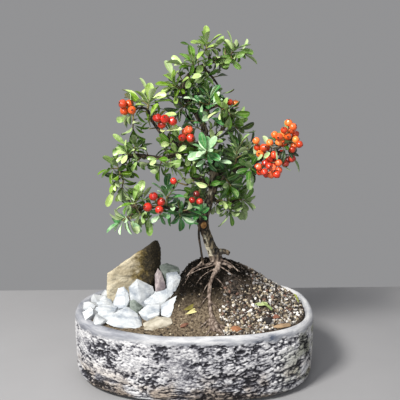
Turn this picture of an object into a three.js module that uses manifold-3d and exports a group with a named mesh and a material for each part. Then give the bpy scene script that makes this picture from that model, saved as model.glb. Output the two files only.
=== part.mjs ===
// A potted miniature tree: a berried firethorn grown over a mound of soil in a rough oval
// ceramic pot, with one standing stone and a heap of broken white marble beside it.
// Millimetres, +Z up. The origin is the middle of the pot's foot.

import * as THREE from 'three';
import { mergeVertices } from 'three/addons/utils/BufferGeometryUtils.js';
import { ConvexGeometry } from 'three/addons/geometries/ConvexGeometry.js';
import Module from 'manifold-3d';

const wasm = await Module();
wasm.setup();

// ---------------------------------------------------------------- driving dimensions

const GAP = 0.3;                 // clearance left between pieces that touch
const SLIVER = 0.08;             // edges shorter than this are closed up after joining

const POT_LENGTH = 314;
const POT_WIDTH = 200;
const POT_HEIGHT = 92;
const POT_SQUARE_RIGHT = 2.65;   // exponents of the superellipse: 2 is an ellipse
const POT_SQUARE_LEFT = 2.15;
const POT_WALL = 12;
const POT_FLOOR = 13;
const POT_HEWN = 1.6;            // depth of the hollows in the rough wall
const DRAIN_RADIUS = 7;
const DRAIN_X = 60;

const SOIL_RIM = 89;             // soil level along the pot's wall
const MOUND_TOP = 64;            // rise of the mound above that level
const MOUND_X = 30;
const MOUND_Y = 2;
const MOUND_REACH = { left: 56, right: 80, front: 50, back: 70 };
const GRAVEL_RELIEF = 1.7;

const BLADE_THICK = 0.8;
const TWIG_RADIUS = 1.15;
const BERRY_RADIUS = 5;
const STALK_RADIUS = 0.7;
const LEAF_LENGTH = 22;          // of a common leaf; a spray may state its own

const CROWN_HALF_X = 152;        // the crown stays over the pot
const CROWN_HALF_Y = 96;
const CROWN_TOP = 450;

// ---------------------------------------------------------------- small helpers

const at = ([x, y, z]) => new THREE.Vector3(x, y, z);
const UP = new THREE.Vector3(0, 0, 1);
const SIDEWAYS = new THREE.Vector3(0.3, 0.9, 0.31); // a direction that no limb or twig follows

// A seeded generator of numbers from 0 to 1 (mulberry32).
function draws(seed) {
  let state = seed >>> 0;
  return () => {
    state = (state + 0x6d2b79f5) >>> 0;
    let t = state;
    t = Math.imul(t ^ (t >>> 15), t | 1);
    t ^= t + Math.imul(t ^ (t >>> 7), t | 61);
    return ((t ^ (t >>> 14)) >>> 0) / 4294967296;
  };
}

// A closed manifold solid from a closed three.js geometry.
function solid(geometry) {
  const bare = geometry.index ? geometry.toNonIndexed() : geometry.clone();
  bare.deleteAttribute('normal');
  bare.deleteAttribute('uv');
  const merged = mergeVertices(bare, 1e-4);
  const kept = [];
  const index = merged.index.array;
  for (let i = 0; i < index.length; i += 3) {
    const [a, b, c] = [index[i], index[i + 1], index[i + 2]];
    if (a !== b && b !== c && c !== a) kept.push(a, b, c);
  }
  const mesh = new wasm.Mesh({
    numProp: 3,
    vertProperties: new Float32Array(merged.attributes.position.array),
    triVerts: new Uint32Array(kept),
  });
  return new wasm.Manifold(mesh);
}

// A three.js geometry from the largest body of a manifold solid.
function geometryOf(body) {
  const largest = body.decompose().sort((a, b) => b.volume() - a.volume())[0];
  const mesh = largest.simplify(SLIVER).getMesh();
  const geometry = new THREE.BufferGeometry();
  geometry.setAttribute('position', new THREE.BufferAttribute(mesh.vertProperties, 3));
  geometry.setIndex(new THREE.BufferAttribute(mesh.triVerts, 1));
  return geometry;
}

const union = (bodies) => wasm.Manifold.union(bodies);

// A closed skin over rings of points, each with the same count, capped by fans at both ends.
// A cap's middle point is given where the ring isn't convex or is large.
function loft(rings, startMiddle, endMiddle) {
  const count = rings[0].length;
  const points = rings.flat();
  const faces = [];
  for (let r = 0; r + 1 < rings.length; r += 1) {
    for (let i = 0; i < count; i += 1) {
      const j = (i + 1) % count;
      const [a, b] = [r * count + i, r * count + j];
      const [c, d] = [a + count, b + count];
      faces.push(a, b, d, a, d, c);
    }
  }
  const cap = (first, middle, flip) => {
    const hub = middle ? points.push(middle) - 1 : first;
    for (let i = middle ? 0 : 1; i < (middle ? count : count - 1); i += 1) {
      const [a, b] = [first + i, first + ((i + 1) % count)];
      faces.push(...(flip ? [hub, b, a] : [hub, a, b]));
    }
  };
  cap(0, startMiddle, true);
  cap((rings.length - 1) * count, endMiddle, false);
  let volume = 0;
  for (let i = 0; i < faces.length; i += 3) {
    const [a, b, c] = [points[faces[i]], points[faces[i + 1]], points[faces[i + 2]]];
    volume += a.dot(b.clone().cross(c));
  }
  if (volume < 0) faces.reverse();
  const geometry = new THREE.BufferGeometry().setFromPoints(points);
  geometry.setIndex(faces);
  return geometry;
}

// A tapering tube through points, each [x, y, z, radius]; grow thickens and lengthens it.
function tube(stations, sides, grow = 0) {
  const centres = stations.map(at);
  const [first, second] = centres;
  const [beforeLast, last] = centres.slice(-2);
  const headward = first.clone().sub(second).normalize();
  const tailward = last.clone().sub(beforeLast).normalize();
  first.addScaledVector(headward, grow);
  last.addScaledVector(tailward, grow);
  const rings = [];
  let across = SIDEWAYS;
  centres.forEach((centre, i) => {
    const before = centres[Math.max(i - 1, 0)];
    const after = centres[Math.min(i + 1, centres.length - 1)];
    const along = after.clone().sub(before).normalize();
    across = across.clone().addScaledVector(along, -across.dot(along)).normalize();
    const other = along.clone().cross(across);
    const radius = stations[i][3] + grow;
    const ring = [];
    for (let k = 0; k < sides; k += 1) {
      const turn = (2 * Math.PI * k) / sides;
      ring.push(centre.clone()
        .addScaledVector(across, radius * Math.cos(turn))
        .addScaledVector(other, radius * Math.sin(turn)));
    }
    rings.push(ring);
  });
  return loft(rings);
}

// The pot's end on the left is rounder than the one on the right.
function squareness(x) {
  const share = THREE.MathUtils.smoothstep(x, -60, 60);
  return THREE.MathUtils.lerp(POT_SQUARE_LEFT, POT_SQUARE_RIGHT, share);
}

// A point of the pot's outline, a superellipse.
function ovalPoint(halfLength, halfWidth, turn, z) {
  const [c, s] = [Math.cos(turn), Math.sin(turn)];
  const power = 2 / squareness(halfLength * c);
  return new THREE.Vector3(
    halfLength * Math.sign(c) * Math.abs(c) ** power,
    halfWidth * Math.sign(s) * Math.abs(s) ** power,
    z,
  );
}

// ---------------------------------------------------------------- pot

const POT_SECTORS = 32;

// Each station is [offset in from the outer oval, height, depth of hewing].
const POT_PROFILE = [
  [11, 0, 0], [4, 2.6, 0], [0.8, 9, 0.4], [0, 26, 1], [0.2, 52, 1], [0.4, 76, 0.5],
  [0, 83, 0], [1.2, 89, 0], [4.6, POT_HEIGHT, 0], [8, 91.2, 0], [10.8, 87.6, 0],
  [POT_WALL, 78, 0], [POT_WALL, POT_FLOOR, 0],
];

function buildPot() {
  const draw = draws(11);
  const rings = POT_PROFILE.map(([inset, z, hewn]) => {
    const ring = [];
    for (let i = 0; i < POT_SECTORS; i += 1) {
      const cut = inset + hewn * POT_HEWN * draw();
      const turn = (2 * Math.PI * i) / POT_SECTORS;
      ring.push(ovalPoint(POT_LENGTH / 2 - cut, POT_WIDTH / 2 - cut, turn, z));
    }
    return ring;
  });
  const middle = (z) => new THREE.Vector3(0, 0, z);
  const shell = solid(loft(rings, middle(0), middle(POT_FLOOR)));
  const drains = [-DRAIN_X, DRAIN_X].map((x) => {
    const plug = new THREE.CylinderGeometry(DRAIN_RADIUS, DRAIN_RADIUS, 3 * POT_FLOOR, 10);
    return solid(plug.rotateX(Math.PI / 2).translate(x, 0, POT_FLOOR / 2));
  });
  return shell.subtract(union(drains));
}

// ---------------------------------------------------------------- wood

// Trunk, limbs and roots; each point is [x, y, z, radius].
const TRUNK = [
  [31, -3, 131, 8], [31, -4, 145, 9.5], [30, -5, 155, 8.5], [27, -5, 168, 7.2], [18, -7, 184, 7],
  [13, -9, 201, 7], [13, -9, 219, 7.4], [18, -7, 235, 6], [25, -4, 253, 5.6], [26, -2, 273, 5.6],
  [22, 0, 294, 5.1], [16, 2, 314, 4.5], [11, 4, 332, 3.9], [1, 6, 349, 3.5], [-10, 6, 365, 3.3],
  [-14, 5, 376, 3], [-10, 4, 387, 2.8], [-3, 2, 395, 2.5], [9, 0, 403, 2.3], [22, -3, 410, 2],
  [34, -6, 415, 1.7], [44, -8, 418, 1.3],
];
const LIMBS = {
  crown_fork: [[22, -3, 410, 1.8], [18, -5, 418, 1.5], [15, -6, 425, 1.2]],
  left: [
    [22, 0, 295, 4], [4, -10, 303, 3.4], [-14, -18, 301, 3], [-35, -26, 296, 2.8],
    [-55, -30, 298, 2.6], [-72, -30, 300, 2.3], [-83, -28, 293, 2.1], [-89, -26, 280, 1.8],
    [-86, -25, 268, 1.5],
  ],
  upper_left: [
    [16, 2, 313, 3.5], [-6, -14, 306, 2.6], [-24, -24, 314, 2.4], [-39, -30, 327, 2.1],
    [-50, -32, 342, 1.9], [-55, -31, 355, 1.7], [-66, -34, 357, 1.4], [-73, -37, 355, 1.1],
  ],
  lower_left: [
    [14, -9, 217, 3.4], [-5, -18, 225, 2.7], [-22, -26, 231, 2.4], [-42, -32, 236, 2.2],
    [-60, -34, 236, 1.9], [-74, -33, 236, 1.6], [-81, -30, 246, 1.3],
  ],
  left_tip: [[-60, -34, 236, 1.6], [-72, -37, 231, 1.4], [-80, -39, 226, 1.1]],
  hook: [[26, -4, 251, 3.2], [12, -16, 265, 2.2], [-1, -24, 270, 1.9], [-9, -28, 262, 1.4]],
  right: [
    [26, -4, 255, 3.8], [39, -10, 268, 3], [52, -14, 277, 2.6], [66, -18, 284, 2.3],
    [80, -22, 291, 2.1], [92, -24, 300, 1.9], [104, -24, 308, 1.6], [112, -23, 318, 1.3],
  ],
  right_spur: [[98, -24, 304, 1.5], [108, -20, 300, 1.3], [114, -16, 297, 1.1]],
  upright: [[17, 2, 311, 3], [29, 5, 319, 2.3], [40, 9, 329, 2], [49, 12, 338, 1.6],
    [50, 14, 346, 1.2]],
  lower_right: [[21, -6, 241, 3], [36, 4, 231, 2.3], [51, 14, 231, 2], [62, 22, 233, 1.5]],
  high_right: [[9, 0, 403, 2], [20, 6, 394, 1.7], [29, 10, 382, 1.4], [32, 11, 374, 1.1]],
  middle: [[5, 5, 343, 2.6], [17, -4, 351, 2], [29, -10, 357, 1.7], [39, -12, 358, 1.2]],
  front: [[24, -2, 279, 3], [21, -20, 291, 2.2], [17, -36, 302, 1.5]],
  back_right: [[25, -3, 265, 3.4], [38, 20, 268, 2.6], [52, 42, 275, 2], [60, 56, 283, 1.4]],
  back_left: [[18, 1, 305, 3], [6, 24, 299, 2.4], [-12, 44, 293, 2], [-24, 56, 293, 1.4]],
  back_high: [[-6, 6, 360, 2.6], [0, 24, 364, 2], [8, 42, 366, 1.4]],
  back_low: [[19, -7, 237, 3], [18, 14, 235, 2.3], [16, 34, 231, 1.8], [12, 48, 229, 1.3]],
  cut_stub: [[27, -5, 165, 5], [38, -7, 169, 3.8], [46, -8, 166, 2.8]],
  thin_stem: [[12, -13, 151, 1.7], [9, -14, 175, 1.6], [6, -14, 199, 1.5], [11, -11, 219, 1.4]],
};
const ROOTS = {
  main: [
    [31, -4, 153, 6], [31, -12, 152, 5.2], [29, -20, 148, 4.8], [22, -29, 141, 4.3],
    [19, -36, 130, 3.9], [20, -44, 119, 3.6], [21, -51, 109, 3.6], [24, -59, 100, 4.6],
    [27, -69, 93, 6.2], [28, -76, 88, 4],
  ],
  right: [[33, -5, 153, 5], [46, -8, 150, 3.8], [60, -12, 141, 2.8], [72, -16, 131, 1.8]],
  left: [[28, -6, 153, 4.4], [14, -10, 151, 3], [0, -14, 148, 2], [-10, -20, 140, 1.4]],
  back: [[31, -2, 153, 5], [33, 14, 152, 3.8], [38, 30, 146, 2.8], [46, 44, 135, 1.8]],
};
const TRUNK_SIDES = 6;
const LIMB_SIDES = 4;
const TWIG_SIDES = 3;

function buildWood(grow) {
  const limbs = Object.values(LIMBS).map((limb) => solid(tube(limb, LIMB_SIDES, grow)));
  const roots = Object.values(ROOTS).map((root) => solid(tube(root, LIMB_SIDES + 1, grow)));
  return union([solid(tube(TRUNK, TRUNK_SIDES, grow)), ...limbs, ...roots]);
}

// ---------------------------------------------------------------- soil

const SOIL_RINGS = 7;            // on the surface, from the wall to the middle
const SOIL_SECTORS = 32;
const OUTER_RING = 0.985;        // shares of the pot's inner oval
const INNER_RING = 0.055;

// Height of the soil: level at the wall, heaped under the trunk, steep on the stones' side.
function soilHeight(x, y) {
  const { left, right, front, back } = MOUND_REACH;
  const [dx, dy] = [x - MOUND_X, y - MOUND_Y];
  const sideways = dx < 0 ? (-dx / left) ** 4 : (dx / right) ** 2;
  const depthways = dy < 0 ? (-dy / front) ** 3 : (dy / back) ** 2.5;
  const halfLength = POT_LENGTH / 2 - POT_WALL;
  const halfWidth = POT_WIDTH / 2 - POT_WALL;
  const power = squareness(x);
  const reach = (Math.abs(x) / halfLength) ** power + (Math.abs(y) / halfWidth) ** power;
  const fade = 1 - Math.min(1, reach ** (10 / power));
  return SOIL_RIM + MOUND_TOP * Math.exp(-sideways - depthways) * fade;
}

function buildSoil() {
  const draw = draws(23);
  const halfLength = POT_LENGTH / 2 - POT_WALL - GAP;
  const halfWidth = POT_WIDTH / 2 - POT_WALL - GAP;
  const rings = [];
  const ringAt = (scale, height) => {
    const ring = [];
    for (let i = 0; i < SOIL_SECTORS; i += 1) {
      const point = ovalPoint(scale * halfLength, scale * halfWidth,
        (2 * Math.PI * i) / SOIL_SECTORS, 0);
      ring.push(point.setZ(height(point)));
    }
    return ring;
  };
  rings.push(ringAt(1, () => POT_FLOOR + GAP));
  rings.push(ringAt(1, () => SOIL_RIM - 2));
  for (let k = 0; k < SOIL_RINGS; k += 1) {
    const scale = THREE.MathUtils.lerp(OUTER_RING, INNER_RING, k / (SOIL_RINGS - 1));
    rings.push(ringAt(scale, (p) => {
      const bumps = p.x > MOUND_X ? GRAVEL_RELIEF : 0.6 * GRAVEL_RELIEF;
      return soilHeight(p.x, p.y) + bumps * (draw() - 0.5) * 2;
    }));
  }
  const middle = (z) => new THREE.Vector3(0, 0, z);
  return solid(loft(rings, middle(POT_FLOOR + GAP), middle(soilHeight(0, 0))));
}

// ---------------------------------------------------------------- stones

// Corners of each broken chunk, listed from the front of the heap to its back.
const WHITE_STONES = [
  [[-101, -64, 92], [-67, -62, 88], [-65, -56, 88], [-111, -57, 94], [-102, -44, 101],
    [-87, -32, 105], [-83, -30, 103], [-72, -38, 98], [-96, -30, 85], [-66, -28, 85],
    [-90, -61, 86], [-64, -60, 86]],
  [[-65, -52, 91], [-62, -68, 88], [-53, -68, 88], [-27, -60, 94], [-29, -50, 97],
    [-48, -44, 97], [-40, -58, 99], [-62, -44, 85], [-34, -44, 85], [-60, -66, 85],
    [-38, -62, 85]],
  [[-72, -36, 99], [-60, -24, 104], [-44, -24, 104], [-44, -40, 97], [-57, -44, 94],
    [-68, -22, 86], [-46, -22, 86], [-48, -40, 86], [-62, -42, 86]],
  [[-43, -26, 104], [-29, -20, 110], [-21, -22, 116], [-16, -30, 109], [-21, -38, 102],
    [-32, -46, 95], [-43, -38, 95], [-44, -18, 86], [-26, -22, 88], [-30, -42, 86]],
  [[-131, -26, 93], [-128, -16, 98], [-115, -12, 100], [-99, -16, 99], [-103, -34, 97],
    [-112, -49, 90], [-124, -42, 89], [-124, -12, 86], [-100, -10, 86], [-118, -36, 86],
    [-100, -46, 86]],
  [[-86, -2, 119], [-75, 4, 129], [-54, 4, 118], [-52, 0, 112], [-70, -14, 107],
    [-73, -10, 125], [-84, -8, 106], [-69, 10, 120], [-80, 11, 87], [-60, 13, 87],
    [-82, -8, 86], [-62, -10, 86]],
  [[-107, -12, 99], [-100, 0, 117], [-92, 2, 119], [-86, 0, 112], [-84, -10, 104],
    [-88, -20, 97], [-104, -20, 98], [-104, 5, 87], [-86, 6, 87], [-104, -12, 86],
    [-88, -16, 86]],
  [[-68, -4, 108], [-55, 0, 107], [-46, 6, 112], [-31, 8, 115], [-27, 2, 108],
    [-37, -10, 103], [-54, -16, 100], [-65, -16, 101], [-60, 6, 88], [-36, 8, 92],
    [-62, -14, 86], [-40, -14, 88]],
  [[-37, 6, 135], [-30, 12, 135], [-22, 10, 136], [-17, 4, 131], [-14, 0, 120],
    [-19, -6, 110], [-27, -6, 109], [-35, -2, 120], [-27, -6, 127], [-34, 14, 100],
    [-20, 12, 104], [-20, -2, 100], [-34, -4, 96]],
  [[-51, 0, 112], [-52, 10, 132], [-48, 14, 140], [-42, 12, 134], [-37, 4, 118],
    [-46, 2, 124], [-46, 16, 90], [-36, 16, 92], [-46, 0, 90]],
  [[-130, 0, 96], [-118, 8, 101], [-110, 7, 99], [-109, 0, 94], [-128, -6, 92],
    [-118, -4, 99], [-122, 10, 86], [-106, 7, 86], [-120, -6, 86], [-102, -6, 86]],
  [[-84, -12, 104], [-78, -10, 106], [-66, -16, 98], [-74, -26, 96], [-83, -24, 99],
    [-84, -12, 86], [-70, -12, 86], [-72, -26, 86], [-82, -26, 86]],
  [[-46, 24, 140], [-36, 28, 142], [-21, 26, 137], [-18, 20, 133], [-38, 14, 132],
    [-44, 18, 134], [-44, 34, 96], [-24, 34, 100], [-42, 16, 94], [-22, 16, 98]],
];
const GOLDEN_ANGLE = THREE.MathUtils.degToRad(137.5);
const CORNER_GROWTH = 1.6;       // how much further than the wanted gap a corner moves out

// A convex chunk with these corners; grow moves its faces out.
function buildChunk(corners, grow) {
  const points = corners.map(at);
  const middle = points.reduce((sum, p) => sum.add(p), new THREE.Vector3())
    .divideScalar(points.length);
  points.forEach((p) => p.addScaledVector(p.clone().sub(middle).normalize(),
    CORNER_GROWTH * grow));
  return solid(new ConvexGeometry(points));
}

// The upright slab: corners of its front face and of its back face.
const STANDING_STONE_FRONT = [
  [-118, 12, 83], [-115, 12, 133], [-106, 8, 141], [-72, 14, 161], [-56, 20, 171],
  [-50, 24, 176], [-57, 22, 85],
];
const STANDING_STONE_BACK = [
  [-115, 30, 83], [-115, 28, 125], [-106, 30, 132], [-76, 36, 150], [-56, 36, 165],
  [-46, 34, 172], [-43, 36, 148], [-46, 38, 85],
];

// ---------------------------------------------------------------- berries

// Each bunch: the point of the wood it springs from, and its berries' centres.
const BUNCHES = {
  berries_far_left: {
    root: [-73, -37, 355],
    fruit: [[-83, -42, 363], [-72, -46, 356], [-82, -36, 354], [-76, -33, 362]],
  },
  berries_upper_left: {
    root: [-39, -30, 327],
    fruit: [[-43, -44, 347], [-34, -48, 346], [-25, -44, 343], [-38, -37, 338]],
  },
  berries_left_middle: {
    root: [-16, -20, 310],
    fruit: [[-6, -36, 332], [-14, -41, 323], [-4, -39, 322], [-10, -29, 328]],
  },
  berries_top_right: { root: [50, 14, 346], fruit: [[45, 8, 359], [53, 14, 357]] },
  berries_right_inner: {
    root: [80, -22, 291],
    fruit: [[75, -29, 317], [77, -24, 308], [84, -33, 309], [92, -27, 314]],
  },
  berries_right_top: {
    root: [112, -23, 318],
    fruit: [[114, -26, 338], [108, -32, 330], [118, -22, 328], [108, -21, 321],
      [102, -33, 315], [123, -29, 318], [122, -22, 309], [98, -22, 323]],
  },
  berries_right_low: {
    root: [88, -23, 297],
    fruit: [[78, -31, 285], [86, -34, 290], [85, -38, 280], [94, -30, 275], [95, -38, 285],
      [103, -31, 290], [92, -26, 294], [104, -27, 280]],
  },
  berries_right_back: {
    root: [114, -16, 297],
    fruit: [[117, -13, 290], [109, -11, 298], [101, -12, 290]],
  },
  berries_lower_left: {
    root: [-42, -32, 236],
    fruit: [[-49, -46, 253], [-40, -42, 245], [-56, -48, 240], [-42, -50, 237]],
  },
  berries_hook: {
    root: [12, -16, 265],
    fruit: [[3, -28, 251], [-2, -24, 242], [7, -31, 242]],
  },
  berries_single: { root: [-9, -28, 262], fruit: [[-25, -35, 269]] },
};

function buildBunch({ root, fruit }, wood) {
  const from = at(root);
  const centre = fruit.reduce((sum, f) => sum.add(at(f)), new THREE.Vector3())
    .divideScalar(fruit.length);
  const hub = from.clone().lerp(centre, 0.5);
  const rod = (a, b, radius) => solid(tube([[...a, radius], [...b, radius]], TWIG_SIDES));
  const knot = new THREE.OctahedronGeometry(2.2 * STALK_RADIUS, 0);
  const bodies = [rod(from, hub, 1.2 * STALK_RADIUS)];
  bodies.push(solid(knot.translate(hub.x, hub.y, hub.z)));
  fruit.forEach((f, i) => {
    const ball = new THREE.IcosahedronGeometry(1.04 * BERRY_RADIUS, 0);
    bodies.push(solid(ball.rotateX(1.1 + i).rotateZ(0.7 * i).translate(...f)));
    bodies.push(rod(hub, at(f), STALK_RADIUS));
  });
  return union(bodies).subtract(wood);
}

// ---------------------------------------------------------------- leafy sprays

// Each spray springs from a point of the wood (root) and grows to its tip; forks leave its
// twig at the given share of the way. Leaves are counted for each twig.
const SPRAYS = {
  spray_apex: { tone: 'lime', root: [16, -6, 422], tip: [16, -7, 433], leaves: 7,
    forks: [[0.3, [25, -2, 426], 5]] },
  spray_top_right: { tone: 'green', root: [44, -8, 418], tip: [49, -9, 424], leaves: 8,
    forks: [[0.3, [59, -2, 419], 5], [0.2, [45, 2, 409], 4]] },
  spray_top_left: { tone: 'green', root: [1, 1, 398], tip: [-1, -5, 410], leaves: 8,
    forks: [[0.4, [-12, 0, 405], 5]] },
  spray_upper_left: { tone: 'lime', root: [-12, 5, 373], tip: [-26, -6, 382], leaves: 9,
    forks: [[0.6, [-24, 5, 389], 5]] },
  spray_left_shoulder: { tone: 'lime', root: [-55, -31, 355], tip: [-52, -28, 368], leaves: 8,
    size: 25, forks: [[0.4, [-62, -28, 366], 4]] },
  spray_far_left_under: { tone: 'green', root: [-66, -34, 357], tip: [-77, -34, 346], leaves: 6,
    forks: [[0.5, [-72, -38, 331], 7]] },
  spray_far_left: { tone: 'green', root: [-72, -30, 300], tip: [-70, -35, 314], leaves: 10 },
  spray_left_curl: { tone: 'lime', root: [-89, -26, 280], tip: [-92, -30, 272], leaves: 8,
    forks: [[0.3, [-94, -18, 288], 4]] },
  spray_left_low: { tone: 'lime', root: [-86, -25, 268], tip: [-88, -28, 257], leaves: 10,
    size: 21 },
  spray_left_bottom: { tone: 'teal', root: [-80, -39, 226], tip: [-88, -41, 221], leaves: 9,
    forks: [[0.2, [-78, -28, 216], 4]] },
  spray_left_inner: { tone: 'green', root: [-74, -33, 236], tip: [-68, -37, 249], leaves: 5,
    forks: [[0.2, [-62, -42, 225], 3]] },
  spray_teal: { tone: 'teal', root: [-34, -30, 234], tip: [-34, -28, 255], leaves: 9,
    forks: [[0.5, [-24, -22, 257], 4]] },
  spray_low_middle: { tone: 'teal', root: [-20, -25, 231], tip: [-17, -31, 223], leaves: 7,
    forks: [[0.3, [-7, -30, 231], 5]] },
  spray_middle_left: { tone: 'green', root: [-38, -27, 296], tip: [-42, -32, 283], leaves: 7,
    forks: [[0.2, [-28, -24, 286], 5]] },
  spray_middle: { tone: 'green', root: [-6, -14, 303], tip: [-1, -24, 290], leaves: 8 },
  spray_front: { tone: 'teal', root: [17, -36, 302], tip: [14, -46, 308], leaves: 10 },
  spray_inner_left: { tone: 'dark', root: [-6, 6, 359], tip: [-18, 0, 349], leaves: 8,
    forks: [[0.4, [-21, 2, 363], 4]] },
  spray_inner_top: { tone: 'teal', root: [17, -4, 351], tip: [20, -10, 366], leaves: 8,
    forks: [[0.4, [7, -11, 362], 4]] },
  spray_high_right: { tone: 'green', root: [32, 11, 374], tip: [34, 12, 364], leaves: 8 },
  spray_right_upper: { tone: 'green', root: [39, -12, 358], tip: [44, -18, 347], leaves: 5,
    forks: [[0.3, [34, -19, 353], 4]] },
  spray_right_shoulder: { tone: 'green', root: [44, 10, 333], tip: [54, 15, 331], leaves: 9,
    forks: [[0.4, [59, 6, 322], 6]] },
  spray_right_middle: { tone: 'dark', root: [52, -14, 277], tip: [53, -20, 305], leaves: 12,
    forks: [[0.6, [66, -14, 299], 6]] },
  spray_right_inner: { tone: 'dark', root: [39, -10, 268], tip: [46, -22, 259], leaves: 9 },
  spray_right_low: { tone: 'green', root: [62, 22, 233], tip: [64, 25, 226], leaves: 9,
    forks: [[0.2, [60, 27, 245], 6]] },
  spray_right_bottom: { tone: 'green', root: [44, 9, 231], tip: [47, 5, 218], leaves: 8,
    forks: [[0.3, [44, -8, 240], 5]] },
  spray_right_berries: { tone: 'dark', root: [72, -20, 287], tip: [68, -30, 282], leaves: 6 },
  spray_back_right: { tone: 'green', root: [60, 56, 283], tip: [64, 66, 291], leaves: 8,
    forks: [[0.1, [48, 60, 272], 6], [0.4, [76, 56, 296], 4]] },
  spray_back_left: { tone: 'green', root: [-24, 56, 293], tip: [-34, 64, 295], leaves: 10,
    forks: [[0.1, [-18, 64, 305], 7]] },
  spray_back_high: { tone: 'dark', root: [8, 42, 366], tip: [10, 54, 373], leaves: 9,
    forks: [[0.1, [18, 48, 356], 6]] },
  spray_back_low: { tone: 'green', root: [12, 48, 229], tip: [8, 60, 224], leaves: 9,
    forks: [[0.1, [26, 56, 238], 6]] },
};
const SPRAY_COLOURS = { lime: '#86a83c', green: '#557f37', dark: '#2f5c34', teal: '#5d8a6c' };

const LEAF_TRIES = 24;
const OTHER_LEAF_CLEAR = 4.8;    // least distance between test points of two sprays' leaves
const OWN_LEAF_CLEAR = 3.8;
const WOOD_CLEAR = 2.6;

// Half width of a blade, as a share of its greatest, along it to its blunt tip (1).
const BLADE_RINGS = [[0, 0], [0.62, 1], [1, 0.42]];

// Where a leaf goes: its root, directions, length, half width and bend. It opens away from the
// twig, least at the tip, a golden angle round from the leaf before; later attempts wander.
function drawLeaf(seed, attempt, share, order, root, along, size) {
  const draw = draws(seed * 97 + attempt);
  const wander = attempt / LEAF_TRIES;
  const veer = 40 * (draw() - 0.5) + 320 * wander * (draw() - 0.5);
  const open = 72 - 46 * share ** 1.5 + 26 * (draw() - 0.5) + 60 * wander * (draw() - 0.5);
  const turn = GOLDEN_ANGLE * order + THREE.MathUtils.degToRad(veer);
  const spread = THREE.MathUtils.degToRad(open);
  const side = SIDEWAYS.clone().addScaledVector(along, -SIDEWAYS.dot(along)).normalize();
  const other = along.clone().cross(side);
  const direction = along.clone().multiplyScalar(Math.cos(spread))
    .addScaledVector(side, Math.sin(spread) * Math.cos(turn))
    .addScaledVector(other, Math.sin(spread) * Math.sin(turn))
    .addScaledVector(UP, 0.22)
    .normalize();
  const face = along.clone().addScaledVector(UP, 0.5);
  face.addScaledVector(direction, -face.dot(direction)).normalize();
  face.applyAxisAngle(direction, THREE.MathUtils.degToRad(60 * (draw() - 0.5)));
  const length = size * (0.78 + 0.42 * draw()) * (1 - 0.2 * wander);
  return {
    root,
    direction,
    face,
    across: direction.clone().cross(face),
    length,
    half: length * (0.205 + 0.04 * draw()),
    bend: 0.1 + 0.2 * draw(),
  };
}

// A point of the blade's middle surface: share along it, and share of the half width across.
function bladePoint(leaf, share, sideways) {
  return leaf.root.clone()
    .addScaledVector(leaf.direction, leaf.length * share)
    .addScaledVector(leaf.face, -leaf.bend * leaf.length * share * share)
    .addScaledVector(leaf.across, leaf.half * sideways);
}

function testPoints(leaf) {
  const points = [];
  for (let i = 0; i < 6; i += 1) {
    const share = 0.22 + (0.78 * i) / 5;
    const wide = share < 0.4 ? 0.5 : 0.85;
    for (const sideways of [-wide, 0, wide]) points.push(bladePoint(leaf, share, sideways));
  }
  return points;
}

function distanceToRod(point, a, b) {
  const rod = b.clone().sub(a);
  const share = THREE.MathUtils.clamp(point.clone().sub(a).dot(rod) / rod.lengthSq(), 0, 1);
  return point.distanceTo(a.clone().addScaledVector(rod, share));
}

const twigsOf = (spray) => {
  const [root, tip] = [at(spray.root), at(spray.tip)];
  const main = { root, tip, leaves: spray.leaves };
  const forks = (spray.forks ?? []).map(([share, forkTip, leaves]) => (
    { root: root.clone().lerp(tip, share), tip: at(forkTip), leaves }));
  return [main, ...forks];
};

// Everything that leaves have to miss: rods are [owner, from, to, radius].
function collectRods() {
  const rods = [];
  const chain = (owner, stations) => {
    for (let i = 0; i + 1 < stations.length; i += 1) {
      const radius = Math.max(stations[i][3], stations[i + 1][3]);
      rods.push([owner, at(stations[i]), at(stations[i + 1]), radius]);
    }
  };
  chain('trunk', TRUNK);
  Object.values(LIMBS).forEach((limb) => chain('trunk', limb));
  for (const [name, { root, fruit }] of Object.entries(BUNCHES)) {
    for (const f of fruit) {
      rods.push([name, at(f), at(f), BERRY_RADIUS]);
      rods.push([name, at(root), at(f), STALK_RADIUS]);
    }
  }
  for (const [name, spray] of Object.entries(SPRAYS)) {
    for (const twig of twigsOf(spray)) rods.push([name, twig.root, twig.tip, TWIG_RADIUS]);
  }
  return rods;
}

// Is this leaf clear of wood, berries, twigs and the leaves placed before it?
function isClear(points, name, rods, placed) {
  for (const p of points) {
    const outside = Math.abs(p.x) > CROWN_HALF_X || Math.abs(p.y) > CROWN_HALF_Y
      || p.z > CROWN_TOP;
    if (outside) return false;
    for (const [owner, a, b, radius] of rods) {
      const need = owner === name ? radius + 0.4 : radius + WOOD_CLEAR;
      const near = a.equals(b) ? p.distanceTo(a) : distanceToRod(p, a, b);
      if (near < need) return false;
    }
    for (const other of placed) {
      const need = other.owner === name ? OWN_LEAF_CLEAR : OTHER_LEAF_CLEAR;
      for (const q of other.points) if (p.distanceTo(q) < need) return false;
    }
  }
  return true;
}

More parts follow.
